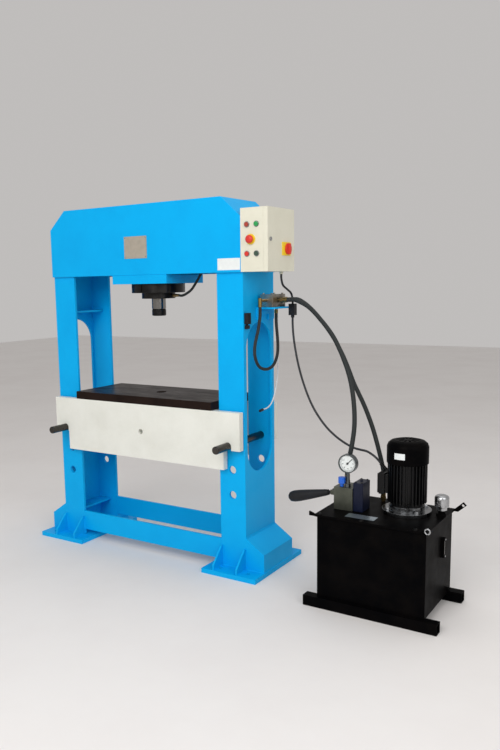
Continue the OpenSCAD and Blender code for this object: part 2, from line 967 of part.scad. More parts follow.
// Plug connector on the bracket's end, where the motor lead starts
module lead_connector() {
    connector_y = block_y1 + 15;
    wide = 34;
    low = bracket_z - 46;
    high = bracket_z + 14;
    near_x = half_w + bracket_out;
    color(hose_black) {
        block([near_x, connector_y - 15, low], [near_x + wide, connector_y + 15, high]);
        translate([near_x + wide / 2, connector_y, 0])
            upright(9, low - 12, low);
    }
}

// Small switch on the front edge of the web
module limit_switch() {
    switch_y = -half_d + flange_t;
    low = bracket_z - 104;
    color(black_iron) {
        block([half_w, switch_y - 8, low + 24], [half_w + 22, switch_y + 24, low + 80]);
        block([half_w, switch_y - 6, low], [half_w + 16, switch_y + 22, low + 18]);
        translate([half_w + 8, switch_y + 8, 0])
            upright(5, low + 18, low + 24);
    }
}

module skid_rails() {
    color(tank_black)
        at_pack()
            for (y = [-tank_d / 2, tank_d / 2])
                difference() {
                    block([-tank_w / 2 - rail_over, y - rail_s / 2, 0], [tank_w / 2 + rail_over, y + rail_s / 2, rail_s]);
                    block([-tank_w / 2 - rail_over - over, y - rail_s / 2 + rail_t, rail_t],
                          [tank_w / 2 + rail_over + over, y + rail_s / 2 - rail_t, rail_s - rail_t]);
                }
}

// Open-topped welded tank with a drain plug and a level window
module tank() {
    level_y = 43;
    color(tank_black)
        at_pack() {
            difference() {
                block([-tank_w / 2, -tank_d / 2, tank_low], [tank_w / 2, tank_d / 2, tank_high]);
                block([-tank_w / 2 + tank_t, -tank_d / 2 + tank_t, tank_low + tank_t],
                      [tank_w / 2 - tank_t, tank_d / 2 - tank_t, tank_high + over]);
            }
            difference() {
                block([tank_w / 2, level_y - 13, tank_high - 178], [tank_w / 2 + 14, level_y + 13, tank_high - 86]);
                block([tank_w / 2 + 9, level_y - 6, tank_high - 165], [tank_w / 2 + 15, level_y + 6, tank_high - 99]);
            }
            translate([0, tank_d / 2 - 60, tank_low + 24])
                rotate([0, 90, 0])
                    translate([0, 0, tank_w / 2])
                        cylinder(r = 11, h = 12, $fn = 6);
        }
}

// Lid with lifting lugs, filler neck and the opening for the pump's shaft
module tank_lid() {
    lid_x = tank_w / 2 + lid_over;
    lid_y = tank_d / 2 + lid_over;
    color(tank_black)
        at_pack() {
            difference() {
                union() {
                    block([-lid_x, -lid_y, tank_high], [lid_x, lid_y, lid_high]);
                    plate_xz([[lid_x, tank_high], [lid_x + 18, tank_high], [lid_x + 55, lid_high + 24],
                              [lid_x + 40, lid_high + 38], [lid_x, lid_high]], lid_y - 14, lid_y - 4);
                    plate_xz([[-lid_x, tank_high], [-lid_x - 28, tank_high], [-lid_x - 28, lid_high + 10],
                              [-lid_x, lid_high]], -lid_y + 4, -lid_y + 14);
                    translate([breather_at[0], breather_at[1], 0])
                        upright(neck_r, lid_high, lid_high + neck_h);
                    translate([breather_at[0], breather_at[1], 0])
                        upright(neck_r + 8, lid_high, lid_high + 14);
                }
                translate([motor_at[0], motor_at[1], 0])
                    upright(lid_hole_r, tank_high - over, lid_high + over);
                translate([lid_x + 40, 0, lid_high + 22])
                    bar_y(7, lid_y - 14 - over, lid_y - 4 + over);
            }
            translate([lid_x - 14, -lid_y - 2, lid_high - 3])
                rotate([90, 0, 0])
                    rotate_extrude()
                        translate([11, 0])
                            circle(r = 3, $fn = 16);
            for (x = [-lid_x + 24, -40, lid_x - 60], y = [-lid_y + 12, lid_y - 12])
                translate([x, y, lid_high])
                    cylinder(r = 8, h = 6, $fn = 6);
        }
}

// Finned stator housing with a closed fan end and a foot for the terminal box
module motor_frame() {
    fin_t = 4;
    color(tank_black)
        at_pack(motor_at)
            difference() {
                union() {
                    upright(fin_root_r, motor_low, frame_high);
                    for (i = [0 : fin_count - 1])
                        rotate(360 * i / fin_count)
                            block([fin_root_r - 2, -fin_t / 2, motor_low + 14], [fin_d / 2, fin_t / 2, frame_high - 8]);
                    block([-fin_d / 2 - 2, -terminal_size[1] / 2 + 6, motor_low + terminal_rise],
                          [-fin_root_r + 10, terminal_size[1] / 2 - 6,
                           motor_low + terminal_rise + terminal_size[2] - 12]);
                }
                upright(stator_r, motor_low - over, frame_high - end_shield_t);
                upright(shaft_r + run_gap, frame_high - end_shield_t - over, frame_high + over);
            }
}

// Turned mounting flange with the drive-end bearing and its bolts
module motor_flange() {
    bolt_r = flange_d / 2 - 16;
    color(chrome)
        at_pack(motor_at) {
            difference() {
                union() {
                    upright(flange_d / 2, lid_high, lid_high + flange_h);
                    upright(fin_root_r + 6, lid_high + flange_h, motor_low);
                }
                upright(lid_hole_r - 4, lid_high - over, lid_high + flange_h);
                upright(shaft_r + run_gap, lid_high + flange_h - over, motor_low + over);
            }
            for (i = [0 : 3])
                rotate(45 + 90 * i)
                    translate([bolt_r, 0, lid_high + flange_h])
                        cylinder(r = 8.5, h = 9, $fn = 6);
        }
}

// Rotor with its shaft down to the pump and the cooling fan on top
module motor_rotor() {
    fan_low = frame_high + fan_gap;
    fan_r = cowl_d / 2 - 14;
    color(chrome)
        at_pack(motor_at) {
            upright(shaft_r, tank_high - shaft_in, fan_low + 40);
            upright(rotor_r, motor_low + fan_gap, frame_high - end_shield_t - fan_gap);
            upright(28, fan_low, fan_low + 30);
            for (i = [0 : 7])
                rotate(45 * i)
                    block([26, -1.5, fan_low + 2], [fan_r, 1.5, fan_low + 36]);
        }
}

// Pressed fan cowl with a slotted dome
module fan_cowl() {
    cowl_r = cowl_d / 2;
    wall = 2;
    dome = 30;
    color(tank_black)
        at_pack(motor_at)
            difference() {
                rotate_extrude()
                    polygon([
                        [fin_root_r + seat_gap, frame_high - 6], [cowl_r, frame_high - 6], [cowl_r, cowl_high - dome],
                        [cowl_r - 6, cowl_high - dome / 2], [cowl_r - 18, cowl_high - 5], [cowl_r - 38, cowl_high],
                        [0, cowl_high], [0, cowl_high - wall], [cowl_r - 38, cowl_high - wall],
                        [cowl_r - 19, cowl_high - 5 - wall], [cowl_r - 8, cowl_high - dome / 2 - wall],
                        [cowl_r - wall, cowl_high - dome], [cowl_r - wall, frame_high],
                        [fin_root_r + seat_gap, frame_high]
                    ]);
                for (i = [0 : 11])
                    rotate(30 * i)
                        block([20, -4, cowl_high - wall - over], [cowl_r - 42, 4, cowl_high + over]);
            }
}

// Terminal box with a lid and a cable gland towards the press
module terminal_box() {
    face_x = -fin_d / 2 - 2;
    low = motor_low + terminal_rise - 6;
    color(tank_black)
        at_pack(motor_at) {
            translate([face_x - terminal_size[0] - 11, 25, low + terminal_size[2] + 28])
                rotate([0, 135, 0])
                    cylinder(r = lead_d * 0.8, h = 44);
            block([face_x - terminal_size[0] + 8, -terminal_size[1] / 2, low],
                  [face_x, terminal_size[1] / 2, low + terminal_size[2]]);
            block([face_x - terminal_size[0], -terminal_size[1] / 2 + 4, low + 4],
                  [face_x - terminal_size[0] + 8, terminal_size[1] / 2 - 4, low + terminal_size[2] - 4]);
        }
}

// Gear pump under the lid, with its suction pipe and strainer
module pump() {
    pump_r = 48;
    pump_low = tank_high - pump_h;
    color(dark_steel)
        at_pack(motor_at)
            difference() {
                union() {
                    upright(pump_r, pump_low, tank_high);
                    translate([24, 0, 0]) {
                        upright(12, tank_low + strainer_low + strainer_h, pump_low);
                        upright(strainer_r, tank_low + strainer_low, tank_low + strainer_low + strainer_h);
                    }
                }
                upright(shaft_r + run_gap, tank_high - shaft_in - seat_gap, tank_high + over);
            }
}

// Chromed filler and breather cap
module breather_cap() {
    bore_r = neck_r + seat_gap;
    roof = neck_h + seat_gap;
    color(chrome)
        at_pack(breather_at, lid_high)
            rotate_extrude()
                polygon([
                    [bore_r, roof - 24], [neck_r + 8, roof - 24], [neck_r + 8, roof - 12], [neck_r + 16, roof - 8],
                    [neck_r + 17, roof + 32], [neck_r + 14, roof + 40], [neck_r + 6, roof + 45], [0, roof + 46],
                    [0, roof], [bore_r, roof]
                ]);
}

// Steel valve block with the lever's ears and pivot pin on its left
module valve_block() {
    left = valve_at[0] - valve_size[0] / 2;
    front = valve_at[1] - valve_size[1] / 2;
    color("#6f7468")
        at_pack() {
            block([left, front, lid_high], [left + valve_size[0], front + valve_size[1], valve_high]);
            for (y = [lever_at[1] - 17, lever_at[1] + 10.3])
                block([lever_at[0] - 10, y, lever_z - 12], [left, y + 6.7, lever_z + 12]);
            translate([lever_at[0], 0, lever_z])
                bar_y(5, lever_at[1] - 17, lever_at[1] + 17);
        }
}

// Directional valve behind the block
module valve_body() {
    color("#131b33")
        at_pack(body_at, lid_high) {
            translate([-body_size[0] / 2, -body_size[1] / 2, 0])
                cube(body_size);
            translate([0, 0, body_size[2]])
                cylinder(r = 7, h = 6, $fn = 6);
        }
}

// Hand lever: hub on the pivot pin, rod and thick grip
module valve_lever() {
    droop = 14;
    rod_r = 8;
    color(hose_black)
        at_pack(lever_at, lever_z)
            difference() {
                union() {
                    bar_y(13, -10, 10);
                    rotate([0, -droop, 0]) {
                        bar_x(rod_r, -30, -8);
                        translate([-26, 0, 0])
                            rotate([0, -90, 0])
                                rotate_extrude()
                                    polygon([
                                        [0, 0], [grip_d * 0.24, 0], [grip_d * 0.28, 14],
                                        [grip_d * 0.42, grip_l * 0.45], [grip_d / 2, grip_l * 0.72],
                                        [grip_d / 2, grip_l * 0.86], [grip_d * 0.42, grip_l * 0.95],
                                        [grip_d * 0.25, grip_l * 0.99], [0, grip_l]
                                    ]);
                    }
                }
                bar_y(5 + run_gap, -10 - over, 10 + over);
            }
}

// Blue adjusting knob of the relief valve on its stem
module relief_knob() {
    color("#1a5fd0")
        at_pack(relief_at, valve_high + seat_gap)
            difference() {
                union() {
                    upright(9, 0, 16);
                    upright(17, 16, 44);
                }
                for (i = [0 : 7])
                    rotate(45 * i)
                        translate([18.5, 0, 0])
                            upright(3, 20, 44 + over);
            }
}

// Gauge on its stem, facing the front, with a recessed dial
module gauge_case() {
    deep = 30;
    rim = 5;
    color(black_iron)
        at_pack(gauge_at) {
            translate([0, 0, gauge_z])
                difference() {
                    bar_y(gauge_d / 2, -deep / 2, deep / 2);
                    bar_y(gauge_d / 2 - rim, -deep / 2 - over, -deep / 2 + 7);
                }
            upright(7.5, valve_high + 18, gauge_z - gauge_d / 2 + 3);
            translate([0, 0, valve_high])
                cylinder(r = 13, h = 18, $fn = 6);
            translate([0, 0, gauge_z])
                bar_y(3, -deep / 2 + 3, -deep / 2 + 8);
        }
}

// Pointer on the gauge's spindle
module gauge_needle() {
    dial_y = -15 + 7;
    color("#101010")
        at_pack(gauge_at, gauge_z)
            difference() {
                union() {
                    bar_y(5, dial_y - 3, dial_y - seat_gap);
                    rotate([0, 45, 0])
                        block([-1.2, dial_y - 2.4, -8], [1.2, dial_y - 0.9, gauge_d / 2 - 12]);
                }
                bar_y(3 + run_gap, dial_y - 5, dial_y);
            }
}

module hose_a() {
    color(hose_black)
        tube(hose_a_route, hose_d, [0, 1, 0]);
}

module hose_b() {
    color(hose_black)
        tube(hose_b_route, hose_d, [0, 1, 0]);
}

module motor_lead() {
    color(hose_black)
        tube(motor_lead_route, lead_d, [0, 1, 0]);
}

module loop_hose() {
    color(hose_black)
        tube(loop_route, loop_d, [1, 0, 0]);
}

module feed_hose() {
    color(hose_black)
        tube(feed_route, feed_d, [0, 1, 0]);
}

module box_lead() {
    color(hose_black)
        tube(box_lead_route, lead_d, [1, 0, 0], 8);
}

module signal_lead() {
    color("#d6d8d8")
        tube(signal_route, signal_d, [1, 0, 0], 8);
}

left_column();
right_column();
frame_stiffeners();
head_front_plate();
head_rear_plate();
head_cover();
cylinder_seat();
base_beams();
feet();
cylinder_barrel();
lock_ring();
gland_nut();
piston();
ram_rod();
ram_nose();
bed_front_plate();
bed_rear_plate();
bed_ties();
table_plate();
left_pin();
right_pin();
control_box();
box_door();
door_lock();
switch_plate();
switch_knob();
button_bezels();
estop_button();
start_button();
stop_button();
up_button();
down_button();
manifold_bracket();
manifold_block();
hose_fittings();
lead_connector();
limit_switch();
skid_rails();
tank();
tank_lid();
motor_frame();
motor_flange();
motor_rotor();
fan_cowl();
terminal_box();
pump();
breather_cap();
valve_block();
valve_body();
valve_lever();
relief_knob();
gauge_case();
gauge_needle();
hose_a();
hose_b();
motor_lead();
loop_hose();
feed_hose();
box_lead();
signal_lead();
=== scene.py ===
import json
import math

import bmesh
import bpy
from mathutils import Matrix, Vector


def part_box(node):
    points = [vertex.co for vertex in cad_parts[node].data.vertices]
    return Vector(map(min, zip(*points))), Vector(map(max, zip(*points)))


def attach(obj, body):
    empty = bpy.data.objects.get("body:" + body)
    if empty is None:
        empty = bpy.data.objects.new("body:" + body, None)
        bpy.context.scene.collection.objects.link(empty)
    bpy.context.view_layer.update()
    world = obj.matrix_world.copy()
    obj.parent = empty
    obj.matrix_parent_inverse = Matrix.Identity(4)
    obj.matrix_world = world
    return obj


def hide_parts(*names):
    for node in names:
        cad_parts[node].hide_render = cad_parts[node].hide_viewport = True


bl_info = {
    "name": "Workshop hydraulic press",
    "version": (1, 0, 0),
    "blender": (4, 5, 0),
    "location": "View3D > Sidebar > Press",
    "description": "Dresses the press's frame, bed, controls, hoses and power pack, and lights them",
    "category": "Add Mesh",
}

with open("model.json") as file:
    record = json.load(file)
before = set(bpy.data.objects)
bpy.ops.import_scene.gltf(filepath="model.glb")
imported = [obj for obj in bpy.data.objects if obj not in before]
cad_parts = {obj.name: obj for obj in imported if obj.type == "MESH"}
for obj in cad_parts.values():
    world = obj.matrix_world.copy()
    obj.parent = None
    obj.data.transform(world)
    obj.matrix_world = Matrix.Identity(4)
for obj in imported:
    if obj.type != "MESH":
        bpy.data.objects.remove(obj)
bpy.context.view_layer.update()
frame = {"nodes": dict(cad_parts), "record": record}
BODY = {node: body for body, nodes in frame["record"]["behaviour"]["bodies"].items() for node in nodes}

# Camera solved from the photograph: place in metres, turns in degrees, lens in pixels of its frame
PHOTO_SIZE = (500, 750)
CAMERA_AT = (2.5938, -3.3875, 1.5188)
CAMERA_TURN = (-33.47, -8.57, -1.09)
FOCAL_PX = 747.36
CENTRE_PX = (212.98, 396.76)
SENSOR_MM = 36

# Middle of the tank, half sizes of its lid and the lid's upper face, in metres
PACK_AT = Vector((1.392, -0.125, 0))
LID_HALF = (0.2675, 0.205)
LID_TOP = 0.45

# Points closer than this, in metres, and faces that turn less than this, in degrees, are merged
MERGE_GAP = 1e-5
MERGE_TURN = 0.05

# Edges that turn more than this, in degrees, are rounded. Those shorter than SHORT_EDGE rounding widths
# stay sharp, since one of them would narrow all the others.
ROUND_TURN = 42
SHORT_EDGE = 3

# Fewest steps in a cord's line
FEWEST_CORD_STEPS = 15

# Plug at the free end of the lead: length in metres, and direction
PLUG_LENGTH = 0.03
PLUG_AXIS = (0, -1, -0.08)

# Gauge's needle at rest, in degrees clockwise from the top
NEEDLE_REST = 45

# Share of the fill lamp's power in the lamp above
TOP_SHARE = 0.65

# Corners of the studio floor, in metres
FLOOR_LOW = (-14, -12, -0.02)
FLOOR_HIGH = (14, 14, 0)

# Finish of each node, with the width of its rounded edges in mm
GROUPS = {
    "frame": {
        "blue_enamel": [
            ("left_column", 2), ("right_column", 2), ("frame_stiffeners", 1), ("head_front_plate", 2),
            ("head_rear_plate", 2), ("head_cover", 2), ("cylinder_seat", 2), ("base_beams", 2),
            ("feet", 1.5),
        ],
    },
    "cylinder": {
        "blackened_steel": [
            ("cylinder_barrel", 1.5), ("lock_ring", 1.5), ("gland_nut", 1.5), ("ram_nose", 0.5),
        ],
        "machined_steel": [("piston", 1)],
        "rod_chrome": [("ram_rod", 1)],
    },
    "bed": {
        "cream_enamel": [("bed_front_plate", 2), ("bed_rear_plate", 2), ("bed_ties", 1)],
        "oiled_plate": [("table_plate", 1)],
        "pin_steel": [("left_pin", 0.5), ("right_pin", 0.5)],
    },
    "controls": {
        "box_powder": [("control_box", 0.8), ("box_door", 1.5)],
        "bright_zinc": [("door_lock", 0.3), ("button_bezels", 0.35)],
        "yellow_plastic": [("switch_plate", 0.8)],
        "red_plastic": [("switch_knob", 0.6), ("estop_button", 0.4), ("down_button", 0.35)],
        "rust_plastic": [("stop_button", 0.35)],
        "green_plastic": [("start_button", 0.35)],
        "olive_plastic": [("up_button", 0.35)],
    },
    "manifold": {
        "blue_enamel": [("manifold_bracket", 1)],
        "aged_zinc": [("manifold_block", 1)],
        "fitting_brass": [("hose_fittings", 0.6)],
        "black_nylon": [("lead_connector", 1), ("limit_switch", 1)],
    },
    "power_pack": {
        "black_enamel": [("skid_rails", 1.2), ("tank", 1.5), ("tank_lid", 1.2), ("fan_cowl", 0.6)],
        "motor_enamel": [("motor_frame", 0.6), ("terminal_box", 1.5)],
        "bright_zinc": [("motor_rotor", 0.5), ("breather_cap", 0.8)],
        "flange_steel": [("motor_flange", 1)],
        "case_steel": [("gauge_case", 0.7)],
        "machined_steel": [("pump", 1), ("valve_block", 1.5)],
        "navy_enamel": [("valve_body", 1.5)],
        "black_nylon": [("valve_lever", 1), ("gauge_needle", 0.1)],
        "blue_plastic": [("relief_knob", 0.4)],
    },
}

# Hoses and leads: diameter, finish, far end, and route in metres
CORDS = {
    "hose_a": (0.022, "hose_rubber", "object", [
        (0.79, 0.05, 1.432), (0.83, 0.05, 1.432), (0.91, 0.038, 1.4), (0.99, 0.015, 1.338),
        (1.075, -0.01, 1.25), (1.145, -0.04, 1.14), (1.19, -0.065, 1.04), (1.22, -0.095, 0.93),
        (1.232, -0.12, 0.83), (1.226, -0.142, 0.73), (1.212, -0.15, 0.65), (1.212, -0.15, 0.61),
    ]),
    "hose_b": (0.022, "hose_rubber", "object", [
        (0.79, 0.092, 1.432), (0.83, 0.092, 1.432), (0.89, 0.088, 1.398), (0.965, 0.078, 1.33),
        (1.04, 0.07, 1.24), (1.105, 0.062, 1.13), (1.155, 0.056, 1.02), (1.21, 0.05, 0.92),
        (1.26, 0.042, 0.81), (1.3, 0.034, 0.69), (1.325, 0.03, 0.59), (1.325, 0.03, 0.5),
    ]),
    "motor_lead": (0.011, "lead_sheath", "object", [
        (0.777, 0.133, 1.338), (0.777, 0.133, 1.3), (0.79, 0.122, 1.22), (0.825, 0.1, 1.1),
        (0.875, 0.075, 0.985), (0.94, 0.048, 0.88), (1.025, 0.018, 0.795), (1.115, -0.01, 0.742),
        (1.2, -0.035, 0.715), (1.27, -0.053, 0.71), (1.318, -0.06, 0.687), (1.343, -0.06, 0.662),
    ]),
    "loop_hose": (0.016, "hose_rubber", "object", [
        (0.705, -0.085, 1.4), (0.705, -0.085, 1.355), (0.705, -0.108, 1.28), (0.705, -0.138, 1.215),
        (0.705, -0.14, 1.155), (0.705, -0.1, 1.1), (0.705, -0.025, 1.078), (0.705, 0.05, 1.092),
        (0.705, 0.095, 1.145), (0.705, 0.1, 1.215), (0.705, 0.085, 1.31), (0.705, 0.085, 1.362),
    ]),
    "feed_hose": (0.014, "hose_rubber", "object", [
        (0.142, 0, 1.461), (0.17, 0, 1.461), (0.225, 0, 1.49), (0.27, 0, 1.545), (0.315, 0, 1.6),
        (0.38, 0.005, 1.634), (0.47, 0.025, 1.626), (0.523, 0.042, 1.592), (0.546, 0.05, 1.54),
        (0.546, 0.05, 1.498), (0.551, 0.05, 1.473), (0.565, 0.05, 1.451), (0.587, 0.05, 1.437),
        (0.608, 0.05, 1.432), (0.622, 0.05, 1.432),
    ]),
    "box_lead": (0.011, "lead_sheath", "object", [
        (0.75, 0.06, 1.564), (0.75, 0.06, 1.542), (0.7537, 0.07, 1.5079), (0.7635, 0.0965, 1.486),
        (0.7733, 0.123, 1.4641), (0.777, 0.133, 1.43), (0.777, 0.133, 1.41),
    ]),
    "signal_lead": (0.007, "white_sheath", "connector", [
        (0.69, 0.126, 1.388), (0.69, 0.126, 1.35), (0.69, 0.128, 1.22), (0.69, 0.13, 1.08),
        (0.69, 0.112, 0.985), (0.69, 0.072, 0.905), (0.69, 0.02, 0.872), (0.69, -0.04, 0.867),
    ]),
}


class PressSettings(bpy.types.PropertyGroup):
    """Sizes, colours and light that a user would change."""

    frame_colour: bpy.props.StringProperty(
        name="Frame colour", description="sRGB hex code of the frame's enamel", default="#04adee")
    bed_colour: bpy.props.StringProperty(
        name="Bed colour", description="sRGB hex code of the bed's enamel", default="#e6e7df")
    box_colour: bpy.props.StringProperty(
        name="Box colour", description="sRGB hex code of the control box's powder coat", default="#dfddcb")
    pack_colour: bpy.props.StringProperty(
        name="Power pack colour", description="sRGB hex code of the tank's and motor's enamel",
        default="#060607")
    paint_wear: bpy.props.FloatProperty(
        name="Paint wear", description="Share of the second tone in the paint's clouds",
        default=0.35, min=0, max=1, subtype="FACTOR")
    edge_scale: bpy.props.FloatProperty(
        name="Edge rounding", description="Factor on the width of every rounded edge",
        default=1.0, min=0.2, max=2)
    bead_radius: bpy.props.FloatProperty(
        name="Weld bead", description="Radius of a weld bead",
        default=0.004, min=0.001, max=0.008, unit="LENGTH")
    bead_pitch: bpy.props.FloatProperty(
        name="Weld ripple", description="Spacing of the ripples in a weld bead",
        default=0.007, min=0.003, max=0.02, unit="LENGTH")
    dial_ticks: bpy.props.IntProperty(
        name="Dial ticks", description="Number of strokes on the gauge's dial", default=37, min=11, max=101)
    key_power: bpy.props.FloatProperty(
        name="Key light", description="Power of the large lamp at the front",
        default=122, min=0, unit="POWER")
    fill_power: bpy.props.FloatProperty(
        name="Fill light", description="Power of the lamp at the right, which also sets the lamp above",
        default=58, min=0, unit="POWER")
    sky_strength: bpy.props.FloatProperty(
        name="Room light", description="Strength of the even light from all sides", default=0.58, min=0)


def linear(code):
    """sRGB hex code as linear RGBA."""
    parts = [int(code[i : i + 2], 16) / 255 for i in (1, 3, 5)]
    return [c / 12.92 if c <= 0.04045 else ((c + 0.055) / 1.055) ** 2.4 for c in parts] + [1.0]


def add(tree, kind, links=(), inputs=(), **settings):
    """Adds one node with its settings, input values and incoming links."""
    made = tree.nodes.new(kind)
    for key, value in settings.items():
        setattr(made, key, value)
    for key, value in inputs:
        made.inputs[key].default_value = value
    for key, source in links:
        tree.links.new(source, made.inputs[key])
    return made


def surface(name, base, second, rough, metallic=0.0, cloud_mm=120, amount=0.5, grain_mm=4.5,
            relief=0.0, gloss=0.5, stretch=(1, 1, 1)):
    """Two-tone finish: clouds of cloud_mm in colour and roughness, and a surface grain of grain_mm."""
    made = bpy.data.materials.new(name)
    made.use_nodes = True
    tree = made.node_tree
    tree.nodes.clear()
    place = add(tree, "ShaderNodeTexCoord")
    spread = add(tree, "ShaderNodeMapping", [("Vector", place.outputs["Object"])], [("Scale", stretch)])
    cloud = add(tree, "ShaderNodeTexNoise", [("Vector", spread.outputs["Vector"])],
                [("Scale", 1000 / cloud_mm), ("Detail", 7.0), ("Roughness", 0.62)])
    share = add(tree, "ShaderNodeMapRange", [("Value", cloud.outputs["Fac"])],
                [("From Min", 0.42), ("From Max", 0.75), ("To Min", 0.0), ("To Max", amount)])
    tone = add(tree, "ShaderNodeMix", [("Factor", share.outputs["Result"])], data_type="RGBA")
    tone.inputs["A"].default_value = linear(base)
    tone.inputs["B"].default_value = linear(second)
    shine = add(tree, "ShaderNodeMapRange", [("Value", cloud.outputs["Fac"])],
                [("From Min", 0.3), ("From Max", 0.7), ("To Min", max(0.03, rough - 0.08)),
                 ("To Max", min(1.0, rough + 0.1))])
    shader = add(tree, "ShaderNodeBsdfPrincipled",
                 [("Base Color", tone.outputs["Result"]), ("Roughness", shine.outputs["Result"])],
                 [("Metallic", metallic), ("Specular IOR Level", gloss)])
    if relief:
        grain = add(tree, "ShaderNodeTexNoise", [("Vector", spread.outputs["Vector"])],
                    [("Scale", 1000 / grain_mm), ("Detail", 3.0)])
        bump = add(tree, "ShaderNodeBump", [("Height", grain.outputs["Fac"])],
                   [("Strength", relief), ("Distance", 0.001)])
        tree.links.new(bump.outputs["Normal"], shader.inputs["Normal"])
    add(tree, "ShaderNodeOutputMaterial", [("Surface", shader.outputs["BSDF"])])
    return made


def finish(name):
    """Material by name, made when it is first asked for."""
    made = bpy.data.materials.get(name)
    if made:
        return made
    settings = bpy.context.scene.press
    wear = settings.paint_wear
    recipes = {
        # Enamel sprayed on steel plate: soft clouds in the blue over a faint orange peel
        "blue_enamel": dict(base=settings.frame_colour, second="#0094dc", rough=0.42, cloud_mm=250,
                            amount=wear, relief=0.12, gloss=0.1),
        # Enamel brushed on the bed's plates: chalky patches in the cream
        "cream_enamel": dict(base=settings.bed_colour, second="#c4c4b8", rough=0.42, cloud_mm=200,
                             amount=wear, relief=0.12, gloss=0.35),
        # Powder coat baked on folded sheet: an even, finely pebbled skin
        "box_powder": dict(base=settings.box_colour, second="#c9c6b2", rough=0.4, cloud_mm=140,
                           amount=wear, grain_mm=2.4, relief=0.25),
        # Enamel sprayed on folded sheet: deep black with a low sheen
        "black_enamel": dict(base=settings.pack_colour, second="#14110f", rough=0.36, cloud_mm=110,
                             amount=0.6, relief=0.1, gloss=0.012),
        # The same enamel on the finned casting: the fins' edges catch the light
        "motor_enamel": dict(base=settings.pack_colour, second="#131416", rough=0.3, cloud_mm=110,
                             amount=0.6, relief=0.15, gloss=0.22),
        # Enamel on the cast valve: blue that is nearly black
        "navy_enamel": dict(base="#0d142c", second="#090d1c", rough=0.38, cloud_mm=80, amount=0.6,
                            relief=0.1, gloss=0.25),
        # Turned steel, oxide blackened: dark, with a dull metal sheen
        "blackened_steel": dict(base="#2a2a2b", second="#3f3c38", rough=0.3, metallic=1.0, cloud_mm=80,
                                amount=0.6, relief=0.06),
        # Ground bar rubbed with oil: dark and smooth, with stains drawn along its length
        "pin_steel": dict(base="#55524f", second="#262423", rough=0.22, metallic=1.0, cloud_mm=80,
                          amount=0.8, stretch=(1, 0.2, 1)),
        # Milled steel left bare: grey-green and dull
        "machined_steel": dict(base="#5e6157", second="#40423c", rough=0.42, metallic=0.85, cloud_mm=70,
                               amount=0.7, relief=0.1),
        # Turned steel flange: dark, with sharp highlights
        "flange_steel": dict(base="#7b7d7f", second="#3c3d3e", rough=0.2, metallic=1.0, cloud_mm=70,
                             amount=0.7),
        # Drawn steel case of the gauge: satin grey
        "case_steel": dict(base="#5c6163", second="#3b3f41", rough=0.28, metallic=0.9, cloud_mm=60,
                           amount=0.5),
        # Rolled plate brown with old oil: long dark stains and a wet sheen
        "oiled_plate": dict(base="#241915", second="#120d0b", rough=0.38, cloud_mm=140, amount=0.9,
                            relief=0.1, stretch=(1, 3, 1), gloss=0.07),
        # Hard chrome ground round: smoky mirror with faint lines along the stroke
        "rod_chrome": dict(base="#8f8c88", second="#6a6660", rough=0.16, metallic=1.0, cloud_mm=60,
                           amount=0.4, stretch=(1, 1, 0.2)),
        # Bright zinc plating: cool and glossy, with cloudy patches
        "bright_zinc": dict(base="#b9bbbd", second="#83858a", rough=0.24, metallic=1.0, cloud_mm=50,
                            amount=0.6),
        # Zinc plating yellowed by oil: warm patches in grey
        "aged_zinc": dict(base="#a7a299", second="#6e6252", rough=0.3, metallic=1.0, cloud_mm=45,
                          amount=0.9),
        # Turned brass, tarnished: dull gold and grey
        "fitting_brass": dict(base="#9a7f49", second="#6d6a62", rough=0.32, metallic=1.0, cloud_mm=55,
                              amount=0.8),
        # Moulded nylon: black with a fine leathery grain
        "black_nylon": dict(base="#17181b", second="#26282c", rough=0.5, cloud_mm=60, amount=0.5,
                            relief=0.2, gloss=0.25),
        # Moulded plastics of the switchgear: even colour, slightly glossy
        "yellow_plastic": dict(base="#f3cf1c", second="#dcae10", rough=0.38, cloud_mm=50),
        "red_plastic": dict(base="#d8271d", second="#b01a14", rough=0.32, cloud_mm=40),
        "rust_plastic": dict(base="#a8402f", second="#7f2c22", rough=0.36, cloud_mm=40),
        "green_plastic": dict(base="#1f9d52", second="#15763c", rough=0.34, cloud_mm=40),
        "olive_plastic": dict(base="#3a5345", second="#26372e", rough=0.36, cloud_mm=40),
        "blue_plastic": dict(base="#1b62d6", second="#0f439c", rough=0.34, cloud_mm=40),
        "white_plastic": dict(base="#e6ebea", second="#d5dad9", rough=0.4, cloud_mm=33),
        # Clear window over dark oil: brown, with a sharp gloss
        "oil_glass": dict(base="#1d1710", second="#120e0a", rough=0.12, cloud_mm=30),
        # Extruded rubber over braid: matt black with a fine nap
        "hose_rubber": dict(base="#1d1f23", second="#0f1012", rough=0.5, cloud_mm=33, amount=0.7,
                            grain_mm=1.1, relief=0.5),
        # Soft sheath of a cable: smoother than the hose, in black and in white
        "lead_sheath": dict(base="#202226", second="#131417", rough=0.55, cloud_mm=33, amount=0.6,
                            grain_mm=1.4, relief=0.2),
        "white_sheath": dict(base="#d5d8d9", second="#b5b8b9", rough=0.5, cloud_mm=33),
        # Brushed aluminium sheet: satin, with lines across
        "brushed_plate": dict(base="#9aa7b0", second="#7c8a94", rough=0.3, metallic=0.8, cloud_mm=38,
                              amount=0.7, stretch=(0.2, 1, 1)),
        # Etched zinc sheet, blank: pale and warm, with a soft sheen
        "etched_plate": dict(base="#b3aa9c", second="#9d9587", rough=0.42, metallic=0.3, cloud_mm=38,
                             amount=0.7),
        # Smooth painted studio floor: pale and matt
        "studio_floor": dict(base="#e9e6e4", second="#e1dddb", rough=0.75, cloud_mm=830, amount=0.6),
    }
    return surface(name, **recipes[name])


def link(name, data):
    """New object in the scene."""
    made = bpy.data.objects.new(name, data)
    bpy.context.scene.collection.objects.link(made)
    return made


